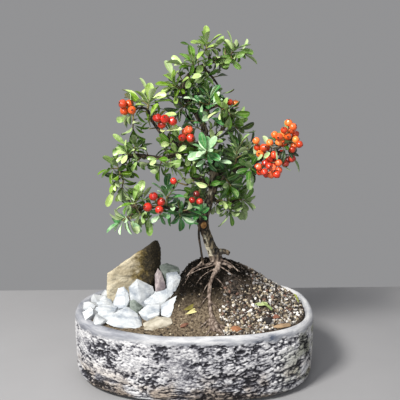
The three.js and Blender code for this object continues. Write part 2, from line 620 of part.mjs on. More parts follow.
// Leaves of every spray, placed one by one; each is drawn again until it is clear.
function placeLeaves() {
  const rods = collectRods();
  const placed = [];
  Object.entries(SPRAYS).forEach(([name, spray], sprayNumber) => {
    twigsOf(spray).forEach((twig, twigNumber) => {
      const along = twig.tip.clone().sub(twig.root).normalize();
      for (let i = 0; i < twig.leaves; i += 1) {
        const share = twig.leaves > 1 ? i / (twig.leaves - 1) : 1;
        const root = twig.root.clone().lerp(twig.tip, 0.35 + 0.65 * share);
        const seed = sprayNumber * 1000 + twigNumber * 100 + i + 1;
        for (let attempt = 0; attempt < LEAF_TRIES; attempt += 1) {
          const leaf = drawLeaf(seed, attempt, share, i, root, along, spray.size ?? LEAF_LENGTH);
          const points = testPoints(leaf);
          if (isClear(points, name, rods, placed)) {
            placed.push({ owner: name, leaf, points });
            break;
          }
        }
      }
    });
  });
  return placed;
}

function buildBlade(leaf, grow = 0) {
  const rings = BLADE_RINGS.map(([share, wide]) => {
    const corners = [[-wide, 1], [wide, 1], [wide, -1], [-wide, -1]];
    return corners.map(([sideways, over]) => bladePoint(leaf, share, sideways)
      .addScaledVector(leaf.across, Math.sign(sideways) * grow)
      .addScaledVector(leaf.face, over * (BLADE_THICK / 2 + grow)));
  });
  return solid(loft(rings));
}

function buildSpray(name, spray, leaves, wood) {
  const twigs = twigsOf(spray).map(({ root, tip }) => solid(tube(
    [[...root, TWIG_RADIUS], [...tip, 0.8 * TWIG_RADIUS]], TWIG_SIDES)));
  const blades = leaves.filter(({ owner }) => owner === name).map(({ leaf }) => buildBlade(leaf));
  return union([...twigs, ...blades]).subtract(wood);
}

// ---------------------------------------------------------------- fallen leaves

// Leaves lying on the soil: [x, y], heading in degrees, length, colour.
const FALLEN_LEAVES = [
  { spot: [-3, -50], heading: 20, length: 28, colour: '#b9bf52' },
  { spot: [84, -46], heading: -20, length: 28, colour: '#b7c98b' },
];
const FALLEN_LIFT = 1.2;

function buildFallenLeaf({ spot, heading, length }, grow) {
  const [x, y] = spot;
  const step = 6;
  const slopeX = (soilHeight(x + step, y) - soilHeight(x - step, y)) / (2 * step);
  const slopeY = (soilHeight(x, y + step) - soilHeight(x, y - step)) / (2 * step);
  const face = new THREE.Vector3(-slopeX, -slopeY, 1).normalize();
  const turn = THREE.MathUtils.degToRad(heading);
  const direction = new THREE.Vector3(Math.cos(turn), Math.sin(turn), 0);
  direction.addScaledVector(face, -direction.dot(face)).normalize();
  const middle = new THREE.Vector3(x, y, soilHeight(x, y)).addScaledVector(face, FALLEN_LIFT);
  const leaf = {
    root: middle.addScaledVector(direction, -length / 2),
    direction,
    face,
    across: direction.clone().cross(face),
    length,
    half: 0.2 * length,
    bend: 0.05,
  };
  return buildBlade(leaf, grow);
}

// ---------------------------------------------------------------- assembly

const bonsai = new THREE.Group();

function add(name, body, colour, roughness) {
  const material = new THREE.MeshStandardMaterial({ color: colour, roughness, metalness: 0 });
  const mesh = new THREE.Mesh(geometryOf(body), material);
  mesh.name = name;
  bonsai.add(mesh);
}

const wood = buildWood(0);
const woodRoom = buildWood(GAP);
add('pot', buildPot(), '#b9b5b3', 0.9);
add('trunk', wood, '#5d4a3d', 0.85);

const slab = [...STANDING_STONE_FRONT, ...STANDING_STONE_BACK];
add('standing_stone', buildChunk(slab, 0), '#9a8763', 0.9);
const stoneRoom = [buildChunk(slab, GAP)];
WHITE_STONES.forEach((stone, i) => {
  const body = buildChunk(stone, 0).subtract(union([...stoneRoom, woodRoom]));
  add(`white_stone_${String(i + 1).padStart(2, '0')}`, body, '#d9dee2', 0.75);
  stoneRoom.push(buildChunk(stone, GAP));
});

const leafRoom = FALLEN_LEAVES.map((leaf) => buildFallenLeaf(leaf, GAP));
const soil = buildSoil().subtract(union([...stoneRoom, ...leafRoom, woodRoom]));
add('soil', soil, '#4a3a2e', 0.95);

for (const [name, bunch] of Object.entries(BUNCHES)) {
  add(name, buildBunch(bunch, woodRoom), '#d23a22', 0.35);
}

const leaves = placeLeaves();
for (const [name, spray] of Object.entries(SPRAYS)) {
  add(name, buildSpray(name, spray, leaves, woodRoom), SPRAY_COLOURS[spray.tone], 0.5);
}

FALLEN_LEAVES.forEach((leaf, i) => {
  add(`fallen_leaf_${i + 1}`, buildFallenLeaf(leaf, 0), leaf.colour, 0.6);
});

export default bonsai;
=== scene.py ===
"""A potted miniature firethorn with berries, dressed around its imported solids.

Sizes in the classes below are millimetres, as in the source of the solids. Every mesh is turned
to metres when its object is made. +Z is up, +X runs along the pot and -Y faces the camera.
"""

import sys

import logging
import math
from dataclasses import dataclass, field, replace
from enum import Enum
from functools import cached_property
from typing import Iterable, Iterator, Sequence

import bpy
import numpy as np
from mathutils import Matrix, Vector, kdtree, noise


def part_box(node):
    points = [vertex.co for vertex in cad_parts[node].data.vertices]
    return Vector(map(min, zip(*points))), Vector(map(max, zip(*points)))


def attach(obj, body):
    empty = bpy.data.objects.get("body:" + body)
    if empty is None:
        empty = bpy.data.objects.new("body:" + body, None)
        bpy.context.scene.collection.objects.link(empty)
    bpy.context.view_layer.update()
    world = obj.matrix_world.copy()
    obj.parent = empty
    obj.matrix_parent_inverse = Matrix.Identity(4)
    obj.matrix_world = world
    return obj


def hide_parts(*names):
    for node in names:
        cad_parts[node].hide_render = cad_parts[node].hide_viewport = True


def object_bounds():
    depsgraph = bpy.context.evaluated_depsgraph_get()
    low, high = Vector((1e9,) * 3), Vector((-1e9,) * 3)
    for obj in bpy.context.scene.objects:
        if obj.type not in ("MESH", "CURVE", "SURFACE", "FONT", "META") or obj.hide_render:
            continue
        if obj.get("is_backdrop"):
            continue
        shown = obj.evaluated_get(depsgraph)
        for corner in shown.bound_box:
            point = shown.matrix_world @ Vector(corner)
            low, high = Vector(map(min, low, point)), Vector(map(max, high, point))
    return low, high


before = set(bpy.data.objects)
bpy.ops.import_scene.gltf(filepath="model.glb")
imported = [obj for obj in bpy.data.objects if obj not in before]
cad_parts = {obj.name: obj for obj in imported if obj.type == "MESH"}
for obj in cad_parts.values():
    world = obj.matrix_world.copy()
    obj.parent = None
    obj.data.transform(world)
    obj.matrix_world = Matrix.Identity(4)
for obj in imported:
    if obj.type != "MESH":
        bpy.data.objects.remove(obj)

LOG = logging.getLogger("bonsai")
MM = 0.001
UP = np.array([0.0, 0.0, 1.0])
GOLDEN_ANGLE = math.radians(137.5)
Point = Sequence[float]
Rows = np.ndarray
Stops = Iterable[tuple[float, str]]
Thing = bpy.types.Object
Socket = bpy.types.NodeSocket
Material = bpy.types.Material


# ---- numbers


def unit(vector: Rows | Point) -> Rows:
    """Returns the vector, or each row of it, at length 1."""
    length = np.linalg.norm(vector, axis=-1, keepdims=True)
    return vector / np.maximum(length, 1e-12)


class Draws:
    """Seeded numbers from 0 to 1, in the same order as the solids' own generator."""

    MASK = 0xFFFFFFFF
    STEP = 0x6D2B79F5

    def __init__(self, seed: int) -> None:
        """Starts the sequence, which is always the same from the same seed."""
        self.state = seed & self.MASK

    def __call__(self) -> float:
        """Steps the sequence on.

        Returns:
            The next number.
        """
        mask = self.MASK
        self.state = (self.state + self.STEP) & mask
        t = self.state
        t = ((t ^ (t >> 15)) * (t | 1)) & mask
        t ^= (t + (((t ^ (t >> 7)) * (t | 61)) & mask)) & mask
        return ((t ^ (t >> 14)) & mask) / (mask + 1)

    def within(self, low: float, high: float) -> float:
        """Returns a number between two others."""
        return low + (high - low) * self()

    def way(self) -> Rows:
        """Returns a direction of length 1."""
        return unit([self() - 0.5, self() - 0.5, self() - 0.5])

    def spin(self, axis: Point | str = "Z") -> Rows:
        """Returns the matrix of a turn by any angle about an axis."""
        about = axis if isinstance(axis, str) else Vector(axis)
        return np.array(Matrix.Rotation(2 * math.pi * self(), 3, about))


def turned(vector: Rows, axis: Rows, angle: float) -> Rows:
    """Turns a vector about an axis.

    Args:
        vector: What is turned.
        axis: A unit vector.
        angle: Radians, by the right-hand rule.

    Returns:
        The turned vector.
    """
    across = np.cross(axis, vector)
    along = axis * np.dot(axis, vector)
    return along + (vector - along) * math.cos(angle) + across * math.sin(angle)


def upright(vector: Rows | Point, axis: Rows) -> Rows:
    """Returns the unit vector square to an axis that is nearest to a vector."""
    return unit(vector - axis * np.dot(vector, axis))


def smoothstep(low: float, high: float, value: Rows | float) -> Rows | float:
    """Eases from 0 at low to 1 at high, also where high is the smaller."""
    share = np.clip((value - low) / (high - low), 0.0, 1.0)
    return share * share * (3 - 2 * share)


def fbm(points: Rows, size: Point | float, octaves: int = 3, shift: float = 0.0) -> Rows:
    """Cloudy noise about 0 at many points.

    Args:
        points: Rows of x, y, z in millimetres.
        size: Width of a cloud, or its widths along x, y and z, in millimetres.
        octaves: How many finer layers are added.
        shift: Moves the pattern, so that two calls differ.

    Returns:
        One value for each point, mostly from -1 to 1.
    """
    scaled = points / np.asarray(size, float) + shift
    return np.array([noise.fractal(Vector(p), 1.0, 2.0, octaves) for p in scaled])


def cells(points: Rows, size: Point | float, shift: float = 0.0) -> Rows:
    """How far points are from the cracks between cells.

    Args:
        points: Rows of x, y, z in millimetres.
        size: Width of a cell, or its widths along x, y and z, in millimetres.
        shift: Moves the pattern.

    Returns:
        0 on a crack and about 1 in the middle of a cell, for each point.
    """
    scaled = points / np.asarray(size, float) + shift
    found = (noise.voronoi(Vector(p))[0] for p in scaled)
    return np.array([d[1] - d[0] for d in found])


def smooth_path(stations: Sequence[Point], step: float) -> Rows:
    """A smooth line through stations (Catmull-Rom), each with any count of numbers.

    Args:
        stations: Points to pass through.
        step: Distance between the points that come back.

    Returns:
        Rows like the stations, close together.
    """
    rows = np.asarray(stations, float)
    padded = np.vstack([2 * rows[0] - rows[1], rows, 2 * rows[-1] - rows[-2]])
    out = []
    for before, start, end, after in zip(padded, padded[1:], padded[2:], padded[3:]):
        count = max(1, round(float(np.linalg.norm((end - start)[:3])) / step))
        for share in np.arange(count) / count:
            out.append(0.5 * (
                2 * start + (end - before) * share
                + (2 * before - 5 * start + 4 * end - after) * share**2
                + (3 * start - before - 3 * end + after) * share**3
            ))
    out.append(rows[-1])
    return np.array(out)


# ---- mesh helpers


def added(name: str, data: bpy.types.ID) -> Thing:
    """Returns a new object of the scene that holds the data."""
    thing = bpy.data.objects.new(name, data)
    bpy.context.scene.collection.objects.link(thing)
    return thing


def deselect() -> None:
    """Leaves nothing selected."""
    if bpy.context.object and bpy.context.object.mode != "OBJECT":
        bpy.ops.object.mode_set(mode="OBJECT")
    for thing in bpy.context.selected_objects:
        thing.select_set(False)


def pick(thing: Thing) -> None:
    """Makes one object the selected and active one."""
    deselect()
    bpy.context.view_layer.objects.active = thing
    thing.select_set(True)


def put_on(thing: Thing, kind: str, **settings: object) -> None:
    """Adds a modifier with its settings, and applies it.

    Args:
        thing: The mesh object.
        kind: Blender's name of the modifier's type.
        settings: The modifier's properties.
    """
    pick(thing)
    modifier = thing.modifiers.new(kind.title(), kind)
    for key, value in settings.items():
        setattr(modifier, key, value)
    bpy.ops.object.modifier_apply(modifier=modifier.name)


def read(items: bpy.types.bpy_prop_collection, name: str, width: int = 1,
         kind: type = np.float32) -> Rows:
    """Reads one property of all points, corners or faces of a mesh.

    Args:
        items: The points, corners or faces.
        name: The property's name.
        width: How many numbers it has for each.
        kind: Their type.

    Returns:
        The numbers, in a row for each item where they are several.
    """
    flat = np.empty(len(items) * width, kind)
    items.foreach_get(name, flat)
    return flat if width == 1 else flat.reshape(-1, width).astype(float)


def points_of(thing: Thing) -> Rows:
    """Returns a mesh's points in millimetres, a row each."""
    return read(thing.data.vertices, "co", 3) / MM


def normals_of(thing: Thing) -> Rows:
    """Returns the outward direction at each point of a mesh."""
    return read(thing.data.vertex_normals, "vector", 3)


def move_points(thing: Thing, points: Rows) -> None:
    """Gives a mesh new points, in millimetres."""
    thing.data.vertices.foreach_set("co", (points * MM).astype(np.float32).ravel())
    thing.data.update()


def paint(thing: Thing, name: str, values: Rows) -> None:
    """Stores one number for each point of a mesh, which its material reads by name."""
    attribute = thing.data.attributes.new(name, "FLOAT", "POINT")
    attribute.data.foreach_set("value", np.asarray(values, np.float32))


def clean(thing: Thing, distance: float = 0.01) -> None:
    """Closes seams and poles, drops faces with no area and points all faces outwards.

    Args:
        thing: The mesh object.
        distance: Points closer than this are one, in millimetres.
    """
    pick(thing)
    bpy.ops.object.mode_set(mode="EDIT")
    bpy.ops.mesh.select_all(action="SELECT")
    bpy.ops.mesh.remove_doubles(threshold=distance * MM)
    bpy.ops.mesh.dissolve_degenerate(threshold=distance * MM)
    bpy.ops.mesh.select_all(action="SELECT")
    bpy.ops.mesh.normals_make_consistent(inside=False)
    bpy.ops.object.mode_set(mode="OBJECT")


def copy_of(node: str, name: str) -> Thing:
    """Copies a solid, cleans the copy and takes its materials off.

    Args:
        node: The solid's name.
        name: The copy's own name.

    Returns:
        The copy.
    """
    made = added(name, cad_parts[node].data.copy())
    made.data.materials.clear()
    clean(made)
    return made


def crease(thing: Thing, degrees: float) -> None:
    """Shades a mesh smooth, apart from edges that fold by more than this angle."""
    pick(thing)
    bpy.ops.object.shade_smooth_by_angle(angle=math.radians(degrees))


def ball(**counts: int) -> tuple[Thing, Rows]:
    """Adds a ball of radius 1.

    Args:
        counts: The subdivisions of one of triangles, or segments and ring_count.

    Returns:
        The ball and its points.
    """
    deselect()
    if "subdivisions" in counts:
        bpy.ops.mesh.primitive_ico_sphere_add(radius=1, **counts)
    else:
        bpy.ops.mesh.primitive_uv_sphere_add(radius=1, **counts)
    made = bpy.context.object
    return made, np.array([v.co for v in made.data.vertices])


def broken(points: Rows, draw: Draws, flats: int, nearest: float) -> Rows:
    """Breaks flats off a ball of radius 1.

    Args:
        points: The ball's points.
        draw: Gives each flat's direction and distance.
        flats: How many there are.
        nearest: The least distance of a flat from the middle.

    Returns:
        The points, none of them beyond a flat.
    """
    for _ in range(flats):
        way = draw.way()
        over = np.maximum(points @ way - (nearest + 0.3 * draw()), 0)
        points = points - over[:, None] * way
    return points


def wrapped(name: str, rings: Rows) -> Thing:
    """A closed skin over rings of points: a flat grid is added, rolled up and sewn shut.

    Args:
        name: The object's name.
        rings: An array of rings, each a row of x, y, z in millimetres. The first and last
            ring may each be one point, repeated.

    Returns:
        The mesh object.
    """
    count, around = rings.shape[:2]
    deselect()
    bpy.ops.mesh.primitive_grid_add(x_subdivisions=around, y_subdivisions=count - 1, size=1)
    skin = bpy.context.object
    skin.name = skin.data.name = name
    flat = points_of(skin) * MM
    column = np.rint((flat[:, 0] + 0.5) * around).astype(int) % around
    row = np.rint((flat[:, 1] + 0.5) * (count - 1)).astype(int)
    move_points(skin, rings[row, column])
    clean(skin)
    return skin


@dataclass(frozen=True)
class FaceSet:
    """Faces of a shape: corner numbers in a row, corners a face, material and UV."""

    corners: Rows
    sizes: Rows
    slots: Rows
    uvs: Rows


@dataclass(frozen=True)
class Template(FaceSet):
    """A shape modelled once, of which copies are made."""

    points: Rows

    @classmethod
    def of(cls, thing: Thing, points: Rows, uv: Rows | None = None) -> "Template":
        """Takes the faces of an object, and removes the object.

        Args:
            thing: A mesh object.
            points: Where the shape has the object's points.
            uv: The u and v of each point, where its material reads them.

        Returns:
            The template.
        """
        mesh = thing.data
        corners = read(mesh.loops, "vertex_index", kind=np.int32)
        sizes = read(mesh.polygons, "loop_total", kind=np.int32)
        slots = read(mesh.polygons, "material_index", kind=np.int32)
        bpy.data.objects.remove(thing)
        flat = np.full((len(points), 2), 0.5) if uv is None else uv
        return cls(corners, sizes, slots, flat[corners], points.astype(np.float32).astype(float))


class Pile:
    """Meshes gathered copy by copy, and joined in one object at the end."""

    def __init__(self) -> None:
        """Starts empty."""
        self.copies: list[tuple[Rows, ...]] = []
        self.count = 0

    def add(self, points: Rows, faces: FaceSet, slot: int = 0, shade: float = 0.0) -> None:
        """Adds one copy of a shape.

        Args:
            points: The copy's points in millimetres, in the order of the shape's own.
            faces: The shape's faces.
            slot: Added to the shape's own material numbers.
            shade: A number that the material reads, the same all over the copy.
        """
        self.copies.append((points, faces.corners + self.count, faces.sizes,
                            faces.slots + slot, faces.uvs, np.full(len(points), shade)))
        self.count += len(points)

    def add_rod(self, stations: Rows, sides: int, slot: int) -> None:
        """Adds a thin round stem, closed at both ends.

        Args:
            stations: Rows of x, y, z and radius.
            sides: How many sides it has.
            slot: Its material's number.
        """
        centres = stations[:, :3]
        along = unit(np.gradient(centres, axis=0))
        across = np.array([0.3, 0.9, 0.31])
        turn = 2 * math.pi * np.arange(sides) / sides
        rings = []
        for centre, direction, radius in zip(centres, along, stations[:, 3]):
            across = upright(across, direction)
            other = np.cross(direction, across)
            rings.append(centre + radius * (
                np.outer(np.cos(turn), across) + np.outer(np.sin(turn), other)))
        count = len(rings)
        first, last = count * sides, count * sides + 1
        faces = []
        for i in range(sides):
            j = (i + 1) % sides
            faces += [[first, j, i], [last, (count - 1) * sides + i, (count - 1) * sides + j]]
            for k in range(count - 1):
                a, b = k * sides + i, k * sides + j
                faces.append([a, b, b + sides, a + sides])
        corners = np.concatenate(faces)
        self.add(np.vstack([*rings, centres[:1], centres[-1:]]), FaceSet(
            corners, np.array([len(f) for f in faces]), np.full(len(faces), 0),
            np.full((len(corners), 2), 0.5)), slot)

    def build(self, name: str) -> Thing:
        """Makes the object.

        Args:
            name: The object's name.

        Returns:
            The mesh object, with the attribute shade and a UV map.
        """
        points, corners, sizes, slots, uvs, shades = map(np.concatenate, zip(*self.copies))
        mesh = bpy.data.meshes.new(name)
        mesh.vertices.add(len(points))
        mesh.loops.add(len(corners))
        mesh.polygons.add(len(sizes))
        mesh.vertices.foreach_set("co", (points * MM).astype(np.float32).ravel())
        mesh.loops.foreach_set("vertex_index", corners.astype(np.int32))
        starts = np.concatenate([[0], np.cumsum(sizes)[:-1]])
        mesh.polygons.foreach_set("loop_start", starts.astype(np.int32))
        mesh.polygons.foreach_set("material_index", slots.astype(np.int32))
        mesh.update(calc_edges=True)
        layer = mesh.uv_layers.new(name="surface")
        layer.data.foreach_set("uv", uvs.astype(np.float32).ravel())
        mesh.shade_smooth()
        thing = added(name, mesh)
        paint(thing, "shade", shades)
        return thing


# ---- finishes


def colour(code: str) -> tuple[float, float, float, float]:
    """Turns an sRGB hex code such as #a1b2c3 to linear red, green, blue and alpha."""
    shares = [int(code[i:i + 2], 16) / 255 for i in (1, 3, 5)]
    linear = [s / 12.92 if s <= 0.04045 else ((s + 0.055) / 1.055) ** 2.4 for s in shares]
    return (*linear, 1.0)


class Recipe:
    """A material being mixed: its shader, and the patterns that finishes are made of."""

    def __init__(self, title: str, **sockets: float) -> None:
        """Starts the material.

        Args:
            title: Its name.
            sockets: Values of the shader's own sockets, with _ for a space in a name.
        """
        self.material = bpy.data.materials.new(title)
        self.material.use_nodes = True
        self.tree = self.material.node_tree
        self.shader = self.tree.nodes["Principled BSDF"]
        for key, value in sockets.items():
            self.shader.inputs[key.replace("_", " ")].default_value = value

    def add_node(self, kind: str, inputs: dict | None = None, stops: Stops = (),
                 **settings: object) -> bpy.types.Node:
        """Adds a shader node with its settings and links.

        Args:
            kind: Blender's node type.
            inputs: Socket name or number to a value, or to another node's output.
            stops: Positions and hex colours, for a colour ramp.
            settings: The node's properties.

        Returns:
            The node.
        """
        made = self.tree.nodes.new(kind)
        for key, value in settings.items():
            setattr(made, key, value)
        for i, (position, code) in enumerate(stops):
            ramp = made.color_ramp.elements
            stop = ramp[i] if i < 2 else ramp.new(position)
            stop.position, stop.color = position, colour(code)
        for key, value in (inputs or {}).items():
            if isinstance(value, Socket):
                self.tree.links.new(value, made.inputs[key])
            else:
                made.inputs[key].default_value = value
        return made

    def place(self) -> Socket:
        """Returns the place on the object, in metres."""
        return self.add_node("ShaderNodeTexCoord").outputs["Object"]

    def surface(self) -> Socket:
        """Returns the place on the UV map."""
        return self.add_node("ShaderNodeUVMap", uv_map="surface").outputs[0]

    def parts(self, place: Socket) -> Sequence[Socket]:
        """Returns the x, y and z of a place."""
        return self.add_node("ShaderNodeSeparateXYZ", {0: place}).outputs

    def stored(self, name: str) -> Socket:
        """Returns the number that paint() stored under a name."""
        return self.add_node("ShaderNodeAttribute", attribute_name=name).outputs["Fac"]

    def cloud(self, size: Point | float, detail: float = 3.0, shift: float = 0.0) -> Socket:
        """A cloudy pattern of real size.

        Args:
            size: Width of a cloud, or its widths along x, y and z, in millimetres.
            detail: How many finer layers it has.
            shift: Moves the pattern.

        Returns:
            A value about 0.5.
        """
        scaled = self.add_node("ShaderNodeMapping", {
            "Vector": self.place(), "Location": (shift,) * 3,
            "Scale": [1 / (MM * s) for s in np.broadcast_to(size, 3)]})
        made = self.add_node("ShaderNodeTexNoise", {
            "Vector": scaled.outputs[0], "Scale": 1.0, "Detail": detail, "Roughness": 0.6})
        return made.outputs["Fac"]

    def math(self, operation: str, *values: Socket | float) -> Socket:
        """Returns what Blender's math node makes of the values."""
        inputs = dict(enumerate(values))
        return self.add_node("ShaderNodeMath", inputs, operation=operation).outputs[0]

    def product(self, first: Socket, *others: Socket | float) -> Socket:
        """Returns the values multiplied with one another."""
        for other in others:
            first = self.math("MULTIPLY", first, other)
        return first

    def weighed(self, value: Socket, low: float, high: float) -> Socket:
        """Eases a value from 0 at low to 1 at high."""
        return self.add_node("ShaderNodeMapRange", {
            "Value": value, "From Min": low, "From Max": high},
            interpolation_type="SMOOTHSTEP").outputs["Result"]

    def summed(self, first: Socket, second: Socket, share: float) -> Socket:
        """Returns first + share * (second - 0.5)."""
        return self.math("MULTIPLY_ADD", self.math("SUBTRACT", second, 0.5), share, first)

    def blended(self, share: Socket, low: Socket | str, high: Socket | str,
                how: str = "MIX") -> Socket:
        """Mixes two colours, each a socket or a hex code, by a share."""
        given = [colour(c) if isinstance(c, str) else c for c in (low, high)]
        return self.add_node("ShaderNodeMix", {0: share, 6: given[0], 7: given[1]},
                             data_type="RGBA", blend_type=how).outputs[2]

    def graded(self, value: Socket, *stops: tuple[float, str]) -> Socket:
        """Returns the colour that stops of position and hex code give to a value."""
        return self.add_node("ShaderNodeValToRGB", {"Fac": value}, stops).outputs["Color"]

    def done(self, base: Socket, relief: Socket | None = None, depth: float = 0.0) -> Material:
        """Links colour and relief to the shader.

        Args:
            base: The colour.
            relief: A height from 0 to 1.
            depth: What a height of 1 stands for, in millimetres.

        Returns:
            The material.
        """
        self.tree.links.new(base, self.shader.inputs["Base Color"])
        if relief is not None:
            bump = self.add_node("ShaderNodeBump", {
                "Height": relief, "Distance": depth * MM, "Strength": 1.0})
            self.tree.links.new(bump.outputs[0], self.shader.inputs["Normal"])
        return self.material


@dataclass(frozen=True)
class Finish:
    """What every finish has: the name of its material."""

    title: str


@dataclass(frozen=True)
class WashedStoneware(Finish):
    """Unglazed stoneware cast rough and brushed with a pale slip: the slip stays on the high
    parts, the dark body shows in the hollows, and the lip is wiped smooth."""

    def build(self) -> Material:
        """Mixes the slip-washed wall and the wiped lip.

        Returns:
            The material, which reads the attributes pit and lip.
        """
        mix = Recipe(self.title, Roughness=0.82, Specular_IOR_Level=0.35)
        x, _, z = mix.parts(mix.place())
        fine = mix.cloud((3.8, 3.8, 2.3), 5)
        grit = mix.cloud((1.1, 1.1, 0.8), 2, 5.0)
        wash = mix.cloud((26, 26, 13), 3, 2.0)
        pit = mix.math("MULTIPLY_ADD", mix.stored("pit"), 0.66, 0.14)
        hollow = mix.summed(mix.summed(pit, fine, 1.45), wash, 0.8)
        hollow = mix.summed(hollow, mix.weighed(x, 0.11, 0.06), 0.2)
        hollow = mix.summed(hollow, mix.weighed(x, -0.07, -0.02), 0.08)
        wall = mix.graded(hollow, (0.02, "#d6d6d7"), (0.2, "#b9b9bb"), (0.36, "#8f8f94"),
                          (0.52, "#626269"), (0.66, "#3b3b42"), (0.86, "#1d1d23"))
        earthy = mix.weighed(mix.cloud((42, 42, 26), 2, 3.0), 0.4, 0.56)
        earthy = mix.product(mix.weighed(z, 0.055, 0.012), earthy)
        wall = mix.blended(earthy, wall, "#cbbba9", "MULTIPLY")
        mossy = mix.weighed(mix.cloud((30, 30, 22), 2, 9.0), 0.4, 0.6)
        mossy = mix.product(mix.weighed(x, 0.085, 0.15), mossy)
        wall = mix.blended(mossy, wall, "#bfc1ac", "MULTIPLY")
        # Painted contact shadow: a near-black band along the lowest 4 to 8 mm of the wall, where
        # the pot stands on the shelf.
        wall = mix.blended(mix.weighed(z, 0.0085, 0.004), wall, "#15151a")
        lip = mix.graded(mix.cloud((34, 34, 5), 4, 7.0), (0.3, "#808289"), (0.46, "#9d9fa4"),
                         (0.6, "#b7b8ba"), (0.75, "#c9c9c9"))
        lip = mix.blended(mix.weighed(x, -0.03, -0.11), lip, "#d2d3d8", "MULTIPLY")
        stain = mix.product(
            mix.weighed(x, 0.064, 0.078), mix.weighed(x, 0.108, 0.09),
            mix.weighed(z, 0.0915, 0.088),
            mix.weighed(mix.cloud((16, 16, 5), 3, 4.0), 0.36, 0.52))
        lip = mix.blended(stain, lip, "#3f4859")
        base = mix.blended(mix.stored("lip"), wall, lip)
        return mix.done(base, mix.summed(fine, grit, 0.5), -0.7)


@dataclass(frozen=True)
class Marble(Finish):
    """Broken white marble: crystalline faces, flecks of cool grey, faint veins."""

    pale: str
    shade: str

    def build(self) -> Material:
        """Mixes veins and crystals.

        Returns:
            The material.
        """
        mix = Recipe(self.title, Roughness=0.5, Specular_IOR_Level=0.5)
        veins = mix.weighed(mix.cloud((16, 9, 12), 5, 2.0), 0.42, 0.7)
        grain = mix.cloud(1.3, 3, 4.0)
        base = mix.blended(veins, self.pale, self.shade)
        base = mix.blended(mix.weighed(grain, 0.62, 0.8), base, self.shade)
        return mix.done(base, grain, 0.35)


@dataclass(frozen=True)
class FieldStone(Finish):
    """A weathered slab of sandstone: tan where it is clean, and brown to black towards its right
    end, partly moss and partly painted shade of the side away from the key light.
    """

    def build(self) -> Material:
        """Mixes clean stone with moss and with painted shade, from brown to black.

        Returns:
            The material, which reads the attribute that masks moss and painted shade.
        """
        mix = Recipe(self.title, Roughness=0.88)
        grain = mix.cloud(2.4, 5, 1.0)
        bands = mix.cloud((26, 12, 16), 4, 6.0)
        tan = mix.graded(mix.summed(bands, grain, 0.5), (0.22, "#877c65"), (0.4, "#a59a81"),
                         (0.6, "#bab19a"), (0.8, "#ccc5b3"))
        moss_and_shade = mix.graded(grain, (0.3, "#3a3018"), (0.5, "#6a5a2e"), (0.7, "#94845a"))
        dark = mix.graded(grain, (0.3, "#12100b"), (0.55, "#3a3220"), (0.75, "#6d5e40"))
        # Moss and painted shade: the stored mask and a cloud darken the right end through brown to
        # black.
        darkened = mix.summed(mix.stored("darkened"), mix.cloud((13, 8, 10), 5, 8.0), 0.9)
        base = mix.blended(mix.weighed(darkened, 0.28, 0.62), tan, moss_and_shade)
        base = mix.blended(mix.weighed(darkened, 0.62, 0.9), base, dark)
        return mix.done(base, grain, 0.8)


@dataclass(frozen=True)
class Loam(Finish):
    """Moist potting soil: near-black humus, with brown loam where it has dried."""

    def build(self) -> Material:
        """Mixes loam, humus and the bed below the grit.

        Returns:
            The material, which reads the attributes humus and grit.
        """
        mix = Recipe(self.title, Roughness=0.95, Specular_IOR_Level=0.05)
        crumbs = mix.summed(mix.cloud(3.2, 5), mix.cloud(1.1, 3, 8.0), 0.6)
        loam = mix.graded(crumbs, (0.25, "#27221b"), (0.45, "#574c3f"), (0.62, "#7a6e5c"),
                          (0.8, "#998d7c"))
        humus = mix.graded(crumbs, (0.3, "#030302"), (0.5, "#0b0907"), (0.75, "#1e1914"))
        bed = mix.graded(crumbs, (0.3, "#231e1b"), (0.5, "#4a413a"), (0.72, "#796e62"))
        base = mix.blended(mix.stored("humus"), loam, humus)
        base = mix.blended(mix.stored("grit"), base, bed)
        return mix.done(base, crumbs, 1.2)


@dataclass(frozen=True)
class Grit(Finish):
    """Loose grains of one kind: pumice, granite, lava or bark. Each grain has its own tone."""

    dark: str
    pale: str

    def build(self) -> Material:
        """Mixes two tones and pores.

        Returns:
            The material, which reads each grain's shade.
        """
        mix = Recipe(self.title, Roughness=0.85, Specular_IOR_Level=0.35)
        pores = mix.cloud(1.2, 3)
        tone = mix.weighed(mix.summed(mix.stored("shade"), pores, 0.9), 0.0, 1.0)
        return mix.done(mix.blended(tone, self.dark, self.pale), pores, 0.4)


@dataclass(frozen=True)
class Bark(Finish):
    """Firethorn bark: dark and finely cracked on old wood, smooth on thin limbs, and scaly
    pinkish brown on roots that the soil has left bare."""

    def build(self) -> Material:
        """Mixes old and young bark, roots, painted light, a peeled foot and the healed knot.

        Returns:
            The material, which reads crack, girth, root, pale (painted light), bare and scar.
        """
        mix = Recipe(self.title, Roughness=0.8, Specular_IOR_Level=0.4)
        fine = mix.cloud((1.2, 1.2, 3.5), 4)
        blotch = mix.cloud((6, 6, 12), 3, 3.0)
        tone = mix.summed(mix.summed(mix.stored("crack"), fine, 0.8), blotch, 0.6)
        old = mix.graded(tone, (0.15, "#0b0b08"), (0.4, "#27231a"), (0.62, "#484133"),
                         (0.85, "#706550"))
        thin = mix.graded(tone, (0.2, "#120f0b"), (0.5, "#2e251b"), (0.8, "#564837"))
        root = mix.graded(tone, (0.1, "#352a24"), (0.42, "#5b4d43"), (0.7, "#786a60"),
                          (0.95, "#988c81"))
        peeled = mix.graded(fine, (0.25, "#5d4f45"), (0.5, "#a39388"), (0.75, "#cdbfb4"))
        healed = mix.graded(fine, (0.25, "#4a2f16"), (0.48, "#8a6030"), (0.7, "#bd9560"))
        # Pale patches of painted light, where the wood faces the key light.
        lit_patches = mix.product(mix.stored("pale"), mix.weighed(blotch, 0.38, 0.52))
        base = mix.blended(mix.stored("girth"), thin, old)
        base = mix.blended(mix.stored("root"), base, root)
        base = mix.blended(lit_patches, base, "#bfb9a2")
        base = mix.blended(mix.stored("bare"), base, peeled)
        base = mix.blended(mix.stored("scar"), base, healed)
        return mix.done(base, fine, 0.35)


